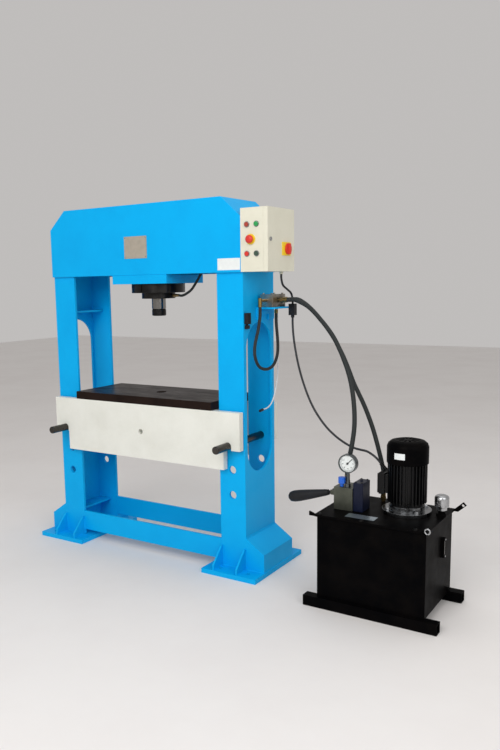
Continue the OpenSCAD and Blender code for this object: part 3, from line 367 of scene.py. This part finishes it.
def evaluated_mesh(obj):
    """Mesh of the object with its modifiers."""
    graph = bpy.context.evaluated_depsgraph_get()
    return bpy.data.meshes.new_from_object(obj.evaluated_get(graph))


def applied(obj):
    """Bakes the object's modifiers into its mesh."""
    mesh = evaluated_mesh(obj)
    obj.modifiers.clear()
    obj.data = mesh
    return obj


def smooth(mesh, angle=35):
    """Smooth shading that breaks at edges sharper than the angle in degrees."""
    mesh.shade_smooth()
    mesh.set_sharp_from_angle(angle=math.radians(angle))


def as_mesh(work, name):
    """Plain mesh of a bmesh, with its faces turned outwards."""
    bmesh.ops.recalc_face_normals(work, faces=work.faces)
    mesh = bpy.data.meshes.new(name)
    work.to_mesh(mesh)
    work.free()
    smooth(mesh)
    return mesh


def dress(node, finish_name, edge_mm):
    """Rounded, painted copy of a CAD node that rides with its body."""
    mesh = frame["nodes"][node].data.copy()
    work = bmesh.new()
    work.from_mesh(mesh)
    bmesh.ops.remove_doubles(work, verts=work.verts, dist=MERGE_GAP)
    bmesh.ops.dissolve_limit(work, angle_limit=math.radians(MERGE_TURN), verts=work.verts, edges=work.edges)
    width = edge_mm / 1000 * bpy.context.scene.press.edge_scale
    weight = work.edges.layers.float.new("bevel_weight_edge")
    for edge in work.edges:
        turns = edge.calc_face_angle(0) > math.radians(ROUND_TURN)
        if turns and edge.calc_length() > SHORT_EDGE * width:
            edge[weight] = 1
    work.to_mesh(mesh)
    work.free()
    obj = link("press_" + node, mesh)
    edges = obj.modifiers.new("edges", "BEVEL")
    edges.width = width
    edges.segments = 2
    edges.limit_method = "WEIGHT"
    applied(obj)
    smooth(obj.data)
    flat = obj.modifiers.new("flat", "WEIGHTED_NORMAL")
    flat.keep_sharp = True
    applied(obj)
    obj.data.materials.clear()
    obj.data.materials.append(finish(finish_name))
    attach(obj, BODY[node])
    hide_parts(node)


def dress_group(group):
    """Dresses each node of a group in its finish."""
    for finish_name, nodes in GROUPS[group].items():
        for node, edge_mm in nodes:
            dress(node, finish_name, edge_mm)


def slab(low, high):
    """Box between two corners, in metres."""
    work = bmesh.new()
    bmesh.ops.create_cube(work, size=1)
    bmesh.ops.scale(work, vec=Vector(high) - Vector(low), verts=work.verts)
    bmesh.ops.translate(work, vec=(Vector(high) + Vector(low)) / 2, verts=work.verts)
    return as_mesh(work, "slab")


def disc(centre, axis, r, depth, sides=48):
    """Round or many-sided plate that starts at centre and runs along axis."""
    work = bmesh.new()
    bmesh.ops.create_cone(work, cap_ends=True, segments=sides, radius1=r, radius2=r, depth=depth)
    bmesh.ops.translate(work, vec=(0, 0, depth / 2), verts=work.verts)
    turn = Vector((0, 0, 1)).rotation_difference(Vector(axis)).to_matrix().to_4x4()
    bmesh.ops.transform(work, matrix=Matrix.Translation(centre) @ turn, verts=work.verts)
    return as_mesh(work, "disc")


def hex_head(r, height, washer=0.0016):
    """Bolt head with a chamfered top on its washer, standing on the origin."""
    washer_r, shoulder, top_r = r * 1.2, height * 0.8, r * 0.84
    work = bmesh.new()
    for low, high, r_low, r_high, sides in (
        (0, washer, washer_r, washer_r, 24), (washer, shoulder, r, r, 6), (shoulder, height, r, top_r, 6),
    ):
        made = bmesh.ops.create_cone(work, cap_ends=True, segments=sides, radius1=r_low, radius2=r_high,
                                     depth=high - low)
        bmesh.ops.translate(work, vec=(0, 0, (low + high) / 2), verts=made["verts"])
    return as_mesh(work, "hex_head")


def ring(centre, r, wire, around=32, across=10):
    """Round wire ring about an axis along Y."""
    work = bmesh.new()
    turns = []
    for i in range(around):
        a = math.tau * i / around
        turns.append([])
        for k in range(across):
            b = math.tau * k / across
            out = r + wire * math.cos(b)
            turns[-1].append(work.verts.new(Vector(centre) + Vector(
                (out * math.cos(a), wire * math.sin(b), out * math.sin(a)))))
    for a, b in zip(turns, turns[1:] + turns[:1]):
        for k in range(across):
            work.faces.new((a[k], a[k - 1], b[k - 1], b[k]))
    return as_mesh(work, "ring")


def bent_plate(centre, r, angle, width, low, high, thick=0.0008, parts=8):
    """Thin plate bent round an upright axis, with its middle at the angle in degrees."""
    work = bmesh.new()
    rows = []
    for k in range(parts + 1):
        a = math.radians(angle) + (k / parts - 0.5) * width / r
        rows.append([work.verts.new((centre[0] + out * math.cos(a), centre[1] + out * math.sin(a), z))
                     for out, z in ((r, low), (r + thick, low), (r + thick, high), (r, high))])
    for a, b in zip(rows, rows[1:]):
        for i in range(4):
            work.faces.new((a[i], a[i - 1], b[i - 1], b[i]))
    work.faces.new(rows[0])
    work.faces.new(rows[-1][::-1])
    return as_mesh(work, "bent_plate")


def numerals(labels, centre, r, start, step, size, thick=0.0001):
    """Upright numbers round a dial that faces -Y, as one mesh."""
    work = bmesh.new()
    for k, label in enumerate(labels):
        letters = bpy.data.curves.new("numeral", "FONT")
        letters.body = label
        letters.size = size
        letters.align_x = "CENTER"
        letters.align_y = "CENTER"
        letters.extrude = thick
        letters.resolution_u = 3
        text = link("numeral", letters)
        mesh = evaluated_mesh(text)
        bpy.data.objects.remove(text)
        a = start + k * step
        place = Matrix.Translation(Vector(centre) + Vector((r * math.sin(a), 0, r * math.cos(a))))
        mesh.transform(place @ Matrix.Rotation(math.pi / 2, 4, "X"))
        work.from_mesh(mesh)
        bpy.data.meshes.remove(mesh)
    mesh = bpy.data.meshes.new("numerals")
    work.to_mesh(mesh)
    work.free()
    return mesh


def trim(name, mesh, finish_name, body="frame"):
    """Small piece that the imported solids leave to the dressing."""
    obj = link(name, mesh)
    obj.data.materials.clear()
    obj.data.materials.append(finish(finish_name))
    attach(obj, body)
    return obj


def new_tree(name, inputs):
    """Empty geometry tree with named inputs, and each input's identifier."""
    tree = bpy.data.node_groups.new(name, "GeometryNodeTree")
    keys = {}
    for label, kind in inputs:
        socket = tree.interface.new_socket(label, in_out="INPUT", socket_type="NodeSocket" + kind)
        keys[label] = socket.identifier
    tree.interface.new_socket("Geometry", in_out="OUTPUT", socket_type="NodeSocketGeometry")
    return tree, keys


def close_tree(tree, source, geometry):
    """Ends a tree in real geometry that wears the chosen finish."""
    real = add(tree, "GeometryNodeRealizeInstances", [("Geometry", geometry)])
    painted = add(tree, "GeometryNodeSetMaterial",
                  [("Geometry", real.outputs["Geometry"]), ("Material", source.outputs["Finish"])])
    add(tree, "NodeGroupOutput", [("Geometry", painted.outputs["Geometry"])])


def grow(name, verts, edges, tree, values, body="frame"):
    """Runs a tree on points or edges, and keeps the result as a plain mesh on the body."""
    seed = bpy.data.meshes.new(name)
    seed.from_pydata([tuple(v) for v in verts], edges, [])
    obj = link(name, seed)
    made = obj.modifiers.new("grow", "NODES")
    made.node_group = tree
    for key, value in values.items():
        made[key] = value
    applied(obj)
    smooth(obj.data)
    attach(obj, body)


def repeat(name, points, piece, finish_name, start=0.0, step=0.0):
    """One piece on every point, turned about Y by start plus the point's index times step."""
    tree, keys = new_tree(name, (("Geometry", "Geometry"), ("Piece", "Object"), ("Start", "Float"),
                                 ("Step", "Float"), ("Finish", "Material")))
    source = add(tree, "NodeGroupInput")
    index = add(tree, "GeometryNodeInputIndex")
    turn = add(tree, "ShaderNodeMath", [(0, index.outputs[0]), (1, source.outputs["Step"]),
                                        (2, source.outputs["Start"])], operation="MULTIPLY_ADD")
    angle = add(tree, "ShaderNodeCombineXYZ", [("Y", turn.outputs[0])])
    info = add(tree, "GeometryNodeObjectInfo", [("Object", source.outputs["Piece"])])
    copies = add(tree, "GeometryNodeInstanceOnPoints",
                 [("Points", source.outputs["Geometry"]), ("Instance", info.outputs["Geometry"]),
                  ("Rotation", angle.outputs["Vector"])])
    close_tree(tree, source, copies.outputs["Instances"])
    sample = link(name + "_sample", piece)
    values = {keys["Piece"]: sample, keys["Start"]: start, keys["Step"]: step,
              keys["Finish"]: finish(finish_name)}
    grow(name, points, [], tree, values)
    bpy.data.objects.remove(sample)


def weld(name, seams, finish_name):
    """Rippled bead along straight seams, each given by its two ends."""
    settings = bpy.context.scene.press
    tree, keys = new_tree(name, (("Geometry", "Geometry"), ("Radius", "Float"), ("Pitch", "Float"),
                                 ("Finish", "Material")))
    source = add(tree, "NodeGroupInput")
    line = add(tree, "GeometryNodeMeshToCurve", [("Mesh", source.outputs["Geometry"])])
    half = add(tree, "ShaderNodeMath", [(0, source.outputs["Pitch"])], [(1, 0.5)], operation="MULTIPLY")
    even = add(tree, "GeometryNodeResampleCurve",
               [("Curve", line.outputs["Curve"]), ("Length", half.outputs[0])], mode="LENGTH")
    index = add(tree, "GeometryNodeInputIndex")
    odd = add(tree, "ShaderNodeMath", [(0, index.outputs[0])], [(1, 2.0)], operation="MODULO")
    swell = add(tree, "ShaderNodeMapRange", [("Value", odd.outputs[0])],
                [("To Min", 0.85), ("To Max", 1.1)])
    size = add(tree, "ShaderNodeMath", [(0, swell.outputs["Result"]), (1, source.outputs["Radius"])],
               operation="MULTIPLY")
    section = add(tree, "GeometryNodeCurvePrimitiveCircle", inputs=[("Resolution", 8), ("Radius", 1.0)])
    bead = add(tree, "GeometryNodeCurveToMesh",
               [("Curve", even.outputs["Curve"]), ("Profile Curve", section.outputs["Curve"]),
                ("Scale", size.outputs[0])], [("Fill Caps", True)])
    close_tree(tree, source, bead.outputs["Mesh"])
    ends = []
    for start, stop in seams:
        inset = (Vector(stop) - Vector(start)).normalized() * settings.bead_radius
        ends += [Vector(start) + inset, Vector(stop) - inset]
    edges = [(i, i + 1) for i in range(0, len(ends), 2)]
    values = {keys["Radius"]: settings.bead_radius, keys["Pitch"]: settings.bead_pitch,
              keys["Finish"]: finish(finish_name)}
    grow(name, ends, edges, tree, values)


def frame_seams():
    """Seams where flanges, ribs and skirts meet the floor plates, and where the head's plates end."""
    rib_thick, rib_reach, rib_rise = 0.01, 0.086, 0.1
    inner_inset, outer_inset, flare_out = 0.002, 0.012, 0.107
    (inner, _, foot), (outer, half_d, _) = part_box("right_column")
    head_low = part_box("head_front_plate")[0][2]
    flare_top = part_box("feet")[1][2]
    ribs = (inner + inner_inset, outer - outer_inset)
    seams = []
    for side in (-1, 1):
        for front in (-half_d, half_d):
            out = math.copysign(1, front)
            seams.append(((side * inner, front, foot), (side * (outer + flare_out), front, foot)))
            seams.append(((side * inner, front, head_low), (side * outer, front, head_low)))
            for x in [face for rib in ribs for face in (rib, rib + rib_thick)]:
                seams.append(((side * x, front, foot), (side * x, front + out * rib_reach, foot)))
                seams.append(((side * x, front, foot), (side * x, front, foot + rib_rise)))
        for x, z in ((outer + flare_out, foot), (outer, flare_top)):
            seams.append(((side * x, -half_d, z), (side * x, half_d, z)))
    return seams


def curve_points(route, per):
    """Smooth line through the route's points, with per steps from each to the next."""
    pts = [Vector(p) for p in route]
    ends = [2 * pts[0] - pts[1]] + pts + [2 * pts[-1] - pts[-2]]
    line = []
    for a, b, c, d in zip(ends, ends[1:], ends[2:], ends[3:]):
        for k in range(per):
            t = k / per
            line.append(0.5 * (2 * b + (c - a) * t + (2 * a - 5 * b + 4 * c - d) * t ** 2
                               + (3 * b - a - 3 * c + d) * t ** 3))
    return line + [pts[-1]]


def lay_cord(node):
    """Round cord along its route, with the plug of the lead that ends free."""
    diameter, finish_name, far_end, route = CORDS[node]
    spans = len(route) - 1
    line = curve_points(route, math.ceil(FEWEST_CORD_STEPS / spans))
    curve = bpy.data.curves.new("press_" + node, "CURVE")
    curve.dimensions = "3D"
    curve.bevel_depth = diameter / 2
    curve.bevel_resolution = 5
    curve.use_fill_caps = True
    curve.resolution_u = 6
    spline = curve.splines.new("BEZIER")
    spline.bezier_points.add(len(line) - 1)
    for point, place in zip(spline.bezier_points, line):
        point.co = place
        point.handle_left_type = "AUTO"
        point.handle_right_type = "AUTO"
    obj = link("press_" + node, curve)
    obj.data.materials.append(finish(finish_name))
    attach(obj, BODY[node])
    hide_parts(node)
    extra = []
    if far_end == "connector":
        plug = disc(route[-1], PLUG_AXIS, diameter, PLUG_LENGTH)
        extra = [trim("signal_plug", plug, "black_nylon")]


class PressOperator:
    """What all the operators share"""

    bl_options = {"REGISTER", "UNDO"}


class PRESS_OT_frame(PressOperator, bpy.types.Operator):
    """Paints the welded frame, and adds its beads, bare nameplate and bare white film"""

    bl_idname = "press.frame"
    bl_label = "Frame"

    def execute(self, context):
        dress_group("frame")
        weld("frame_welds", frame_seams(), "blue_enamel")
        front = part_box("head_front_plate")[0][1]
        self.nameplate(front)
        self.film(front)
        return {"FINISHED"}

    def nameplate(self, front):
        """Bare plate on the head, with a rivet in each corner."""
        left, right, low, high, thick = -0.093, 0.062, 1.664, 1.782, 0.002
        inset, rivet_r, rivet_rise = 0.008, 0.003, 0.0015
        plate = slab((left, front - thick, low), (right, front, high))
        trim("nameplate", plate, "etched_plate")
        rivet = disc((0, 0, 0), (0, -1, 0), rivet_r, rivet_rise, 16)
        corners = [(x, front - thick, z) for x in (left + inset, right - inset)
                   for z in (low + inset, high - inset)]
        repeat("nameplate_rivets", corners, rivet, "bright_zinc")

    def film(self, front):
        """Bare white film at the head's right end."""
        left, right, low, high, thick = 0.512, 0.6445, 1.587, 1.645, 0.0006
        film = slab((left, front - thick, low), (right, front, high))
        trim("bare_film", film, "white_plastic")


class PRESS_OT_cylinder(PressOperator, bpy.types.Operator):
    """Finishes the working cylinder and its ram"""

    bl_idname = "press.cylinder"
    bl_label = "Cylinder and ram"

    def execute(self, context):
        dress_group("cylinder")
        return {"FINISHED"}


class PRESS_OT_bed(PressOperator, bpy.types.Operator):
    """Paints the bed, and finishes its table and pins"""

    bl_idname = "press.bed"
    bl_label = "Bed"

    def execute(self, context):
        dress_group("bed")
        return {"FINISHED"}


class PRESS_OT_controls(PressOperator, bpy.types.Operator):
    """Finishes the control box, and fits the gear behind its door"""

    bl_idname = "press.controls"
    bl_label = "Control box"

    def execute(self, context):
        dress_group("controls")
        self.stop_collar()
        self.gear()
        return {"FINISHED"}

    def stop_collar(self):
        """Yellow skin over the collar of the stop button."""
        front, r, depth = (0.709, -0.1812, 1.732), 0.0253, 0.0047
        trim("stop_collar", disc(front, (0, 1, 0), r, depth), "yellow_plastic")

    def gear(self):
        """Plate on the box's back wall, with three contactors above a row of terminals."""
        wall, plate_thick, near, far, low, high = 0.654, 0.003, -0.15, 0.06, 1.6, 1.85
        face = wall + plate_thick
        plate = slab((wall, near, low), (face, far, high))
        trim("gear_plate", plate, "brushed_plate")
        depth, half_w, half_h = 0.06, 0.022, 0.035
        contactor = slab((0, -half_w, -half_h), (depth, half_w, half_h))
        upper_row, upper_z = (-0.1, -0.045, 0.01), 1.78
        places = [(face, y, upper_z) for y in upper_row]
        repeat("contactors", places, contactor, "black_nylon")
        depth, half_w, half_h = 0.03, 0.008, 0.018
        terminal = slab((0, -half_w, -half_h), (depth, half_w, half_h))
        count, first_y, pitch, lower_z = 8, -0.11, 0.018, 1.65
        places = [(face, first_y + pitch * i, lower_z) for i in range(count)]
        repeat("terminals", places, terminal, "white_plastic")


class PRESS_OT_manifold(PressOperator, bpy.types.Operator):
    """Finishes the manifold, its bracket and the fittings"""

    bl_idname = "press.manifold"
    bl_label = "Manifold"

    def execute(self, context):
        dress_group("manifold")
        return {"FINISHED"}


class PRESS_OT_power_pack(PressOperator, bpy.types.Operator):
    """Finishes the power pack, and adds its dial, bare plates and bolt heads"""

    bl_idname = "press.power_pack"
    bl_label = "Power pack"

    def execute(self, context):
        dress_group("power_pack")
        self.dial(context.scene.press.dial_ticks)
        self.plates()
        self.level_window()
        self.bolts()
        self.screws()
        return {"FINISHED"}

    def dial(self, count):
        """White dial in the gauge's recess, whose scale runs from the needle at rest to its stop."""
        face_r, face_y, face_thick = 0.0396, -0.1973, 0.0004
        tick_low, tick_high, tick_half = 0.031, 0.037, 0.0004
        number_r, number_size = 0.0255, 0.008
        joints = frame["record"]["behaviour"]["joints"]
        sweep = next(joint for joint in joints if joint["child"] == BODY["gauge_needle"])
        start, span = math.radians(NEEDLE_REST), math.radians(sweep["range_deg"][1])
        low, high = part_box("gauge_case")
        r = (high[0] - low[0]) / 2
        centre = Vector(((low[0] + high[0]) / 2, face_y, high[2] - r))
        face = disc(centre, (0, -1, 0), face_r, face_thick, 64)
        trim("dial", face, "white_plastic")
        tick = slab((-tick_half, -2 * face_thick, tick_low), (tick_half, -face_thick, tick_high))
        step = span / (count - 1)
        repeat("dial_ticks", [centre] * count, tick, "black_nylon", start, step)
        labels = [str(value) for value in range(0, 70, 10)]
        front = centre + Vector((0, -1.5 * face_thick, 0))
        numbers = numerals(labels, front, number_r, start, span / (len(labels) - 1), number_size)
        trim("dial_numbers", numbers, "black_nylon")

    def plates(self):
        """Bare plates on the cowl and lid."""
        low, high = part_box("fan_cowl")
        axis = ((low[0] + high[0]) / 2, (low[1] + high[1]) / 2)
        gap, facing, width, bottom, top = 0.0002, -94, 0.05, 0.718, 0.746
        skin = (high[0] - low[0]) / 2 + gap
        cowl = bent_plate(axis, skin, facing, width, bottom, top)
        trim("cowl_plate", cowl, "white_plastic")
        left, right, near, far, thick = 1.26, 1.4, -0.29, -0.235, 0.0012
        lid = slab((left, near, LID_TOP), (right, far, LID_TOP + thick))
        trim("lid_plate", lid, "brushed_plate")

    def level_window(self):
        """Dark glass in the tank's level window, with a screw at each end of its frame."""
        glass_low, glass_high = (1.6585, -0.087, 0.276), (1.6625, -0.077, 0.34)
        trim("level_glass", slab(glass_low, glass_high), "oil_glass")
        frame_x, screw_gap, screw_r, screw_rise = 1.6635, 0.0075, 0.0042, 0.003
        screw = disc((0, 0, 0), (1, 0, 0), screw_r, screw_rise, 20)
        middle = (glass_low[1] + glass_high[1]) / 2
        ends = [(frame_x, middle, z) for z in (glass_low[2] - screw_gap, glass_high[2] + screw_gap)]
        repeat("level_screws", ends, screw, "bright_zinc")

    def bolts(self):
        """Bolt heads on flange and lid, and the lid's ring."""
        low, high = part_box("motor_flange")
        axis = (low + high) / 2
        edge, step_rise, head_r, head_rise = 0.016, 0.018, 0.0099, 0.0095
        circle, step_top = (high[0] - low[0]) / 2 - edge, LID_TOP + step_rise
        turns = [math.radians(45 + 90 * i) for i in range(4)]
        places = [(axis[0] + circle * math.cos(a), axis[1] + circle * math.sin(a), step_top) for a in turns]
        repeat("flange_bolts", places, hex_head(head_r, head_rise), "bright_zinc")
        half_x, half_y = LID_HALF
        edge, head_r, head_rise = 0.012, 0.0094, 0.0068
        columns = (0.024 - half_x, -0.04, half_x - 0.06)
        rim = [PACK_AT + Vector((x, y, LID_TOP)) for x in columns for y in (edge - half_y, half_y - edge)]
        repeat("lid_bolts", rim, hex_head(head_r, head_rise), "blackened_steel")
        ring_r, wire_r, inset, rise = 0.011, 0.0034, 0.002, 0.006
        eye = PACK_AT + Vector((half_x - inset, -half_y - inset, LID_TOP + rise))
        trim("lid_ring", ring(eye, ring_r, wire_r), "bright_zinc")

    def screws(self):
        """Screws on the terminal box's cover and on the valve."""
        cover, half, screw_r, rise = (1.354, -0.085, 0.584), 0.038, 0.0035, 0.0018
        screw = disc((0, 0, 0), (-1, 0, 0), screw_r, rise, 20)
        corners = [(cover[0], cover[1] + y, cover[2] + z) for y in (-half, half) for z in (-half, half)]
        repeat("cover_screws", corners, screw, "bright_zinc")
        low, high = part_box("valve_body")
        middle = (low + high) / 2
        half_x, half_y, roof_rise, screw_r, rise = 0.015, 0.035, 0.138, 0.0045, 0.004
        screw = disc((0, 0, 0), (0, 0, 1), screw_r, rise, 20)
        caps = [(middle[0] + x, middle[1] + y, LID_TOP + roof_rise) for x in (-half_x, half_x)
                for y in (-half_y, half_y)]
        repeat("valve_screws", caps, screw, "blackened_steel")


class PRESS_OT_cords(PressOperator, bpy.types.Operator):
    """Lays the hoses and leads along their routes"""

    bl_idname = "press.cords"
    bl_label = "Hoses and leads"

    def execute(self, context):
        for node in CORDS:
            lay_cord(node)
        return {"FINISHED"}


class PRESS_OT_stage(PressOperator, bpy.types.Operator):
    """Sets up the pale floor, the soft light and the camera"""

    bl_idname = "press.stage"
    bl_label = "Floor, light and camera"

    def execute(self, context):
        scene = context.scene
        settings = scene.press
        floor = link("floor", slab(FLOOR_LOW, FLOOR_HIGH))
        floor.data.materials.append(finish("studio_floor"))
        for name, place, target, size, power in (
            ("key", (1.2, -4.6, 3.5), (0.4, 0, 0.9), 2.6, settings.key_power),
            ("fill", (4.6, -2.2, 3.0), (0.8, 0, 0.8), 3.0, settings.fill_power),
            ("top", (0.6, 1.2, 5.0), (0.6, 0, 0.9), 4.0, settings.fill_power * TOP_SHARE),
        ):
            lamp = bpy.data.lights.new(name, "AREA")
            lamp.size = size
            lamp.energy = power
            obj = link(name, lamp)
            obj.location = place
            obj.rotation_euler = (Vector(target) - Vector(place)).to_track_quat("-Z", "Y").to_euler()
        world = bpy.data.worlds.new("studio")
        world.use_nodes = True
        sky = world.node_tree.nodes["Background"]
        sky.inputs["Color"].default_value = linear("#f4f1ef")
        sky.inputs["Strength"].default_value = settings.sky_strength
        scene.world = world
        scene.view_settings.view_transform = "Standard"
        self.camera(scene)
        return {"FINISHED"}

    def camera(self, scene):
        """Camera at the photograph's place, with its turn, focal length and shifted frame."""
        yaw, pitch, roll = (math.radians(a) for a in CAMERA_TURN)
        ahead = Vector((math.sin(yaw) * math.cos(pitch), math.cos(yaw) * math.cos(pitch), math.sin(pitch)))
        right = Vector((math.cos(yaw), -math.sin(yaw), 0))
        up = right.cross(ahead)
        side = right * math.cos(roll) + up * math.sin(roll)
        top = up * math.cos(roll) - right * math.sin(roll)
        wide, tall = PHOTO_SIZE
        data = bpy.data.cameras.new("camera")
        data.sensor_width = SENSOR_MM
        data.lens = FOCAL_PX / tall * SENSOR_MM
        data.shift_x = (wide / 2 - CENTRE_PX[0]) / tall
        data.shift_y = (CENTRE_PX[1] - tall / 2) / tall
        data.clip_end = 100
        obj = link("camera", data)
        obj.matrix_world = Matrix.Translation(CAMERA_AT) @ Matrix((side, top, -ahead)).transposed().to_4x4()
        scene.camera = obj


class PRESS_PT_panel(bpy.types.Panel):
    """Settings of the press, and a button for each group of its pieces"""

    bl_label = "Hydraulic press"
    bl_idname = "PRESS_PT_panel"
    bl_space_type = "VIEW_3D"
    bl_region_type = "UI"
    bl_category = "Press"

    def draw(self, context):
        for name in PressSettings.__annotations__:
            self.layout.prop(context.scene.press, name)
        for kind in OPERATORS:
            self.layout.operator(kind.bl_idname)


OPERATORS = (
    PRESS_OT_stage, PRESS_OT_cords, PRESS_OT_frame, PRESS_OT_cylinder, PRESS_OT_bed, PRESS_OT_controls,
    PRESS_OT_manifold, PRESS_OT_power_pack,
)
CLASSES = (PressSettings, *OPERATORS, PRESS_PT_panel)


def register():
    for kind in CLASSES:
        bpy.utils.register_class(kind)
    bpy.types.Scene.press = bpy.props.PointerProperty(type=PressSettings)


def unregister():
    del bpy.types.Scene.press
    for kind in reversed(CLASSES):
        bpy.utils.unregister_class(kind)


def main():
    register()
    bpy.ops.press.stage()
    bpy.ops.press.cords()
    bpy.ops.press.frame()
    bpy.ops.press.cylinder()
    bpy.ops.press.bed()
    bpy.ops.press.controls()
    bpy.ops.press.manifold()
    bpy.ops.press.power_pack()


if __name__ == "__main__":
    main()
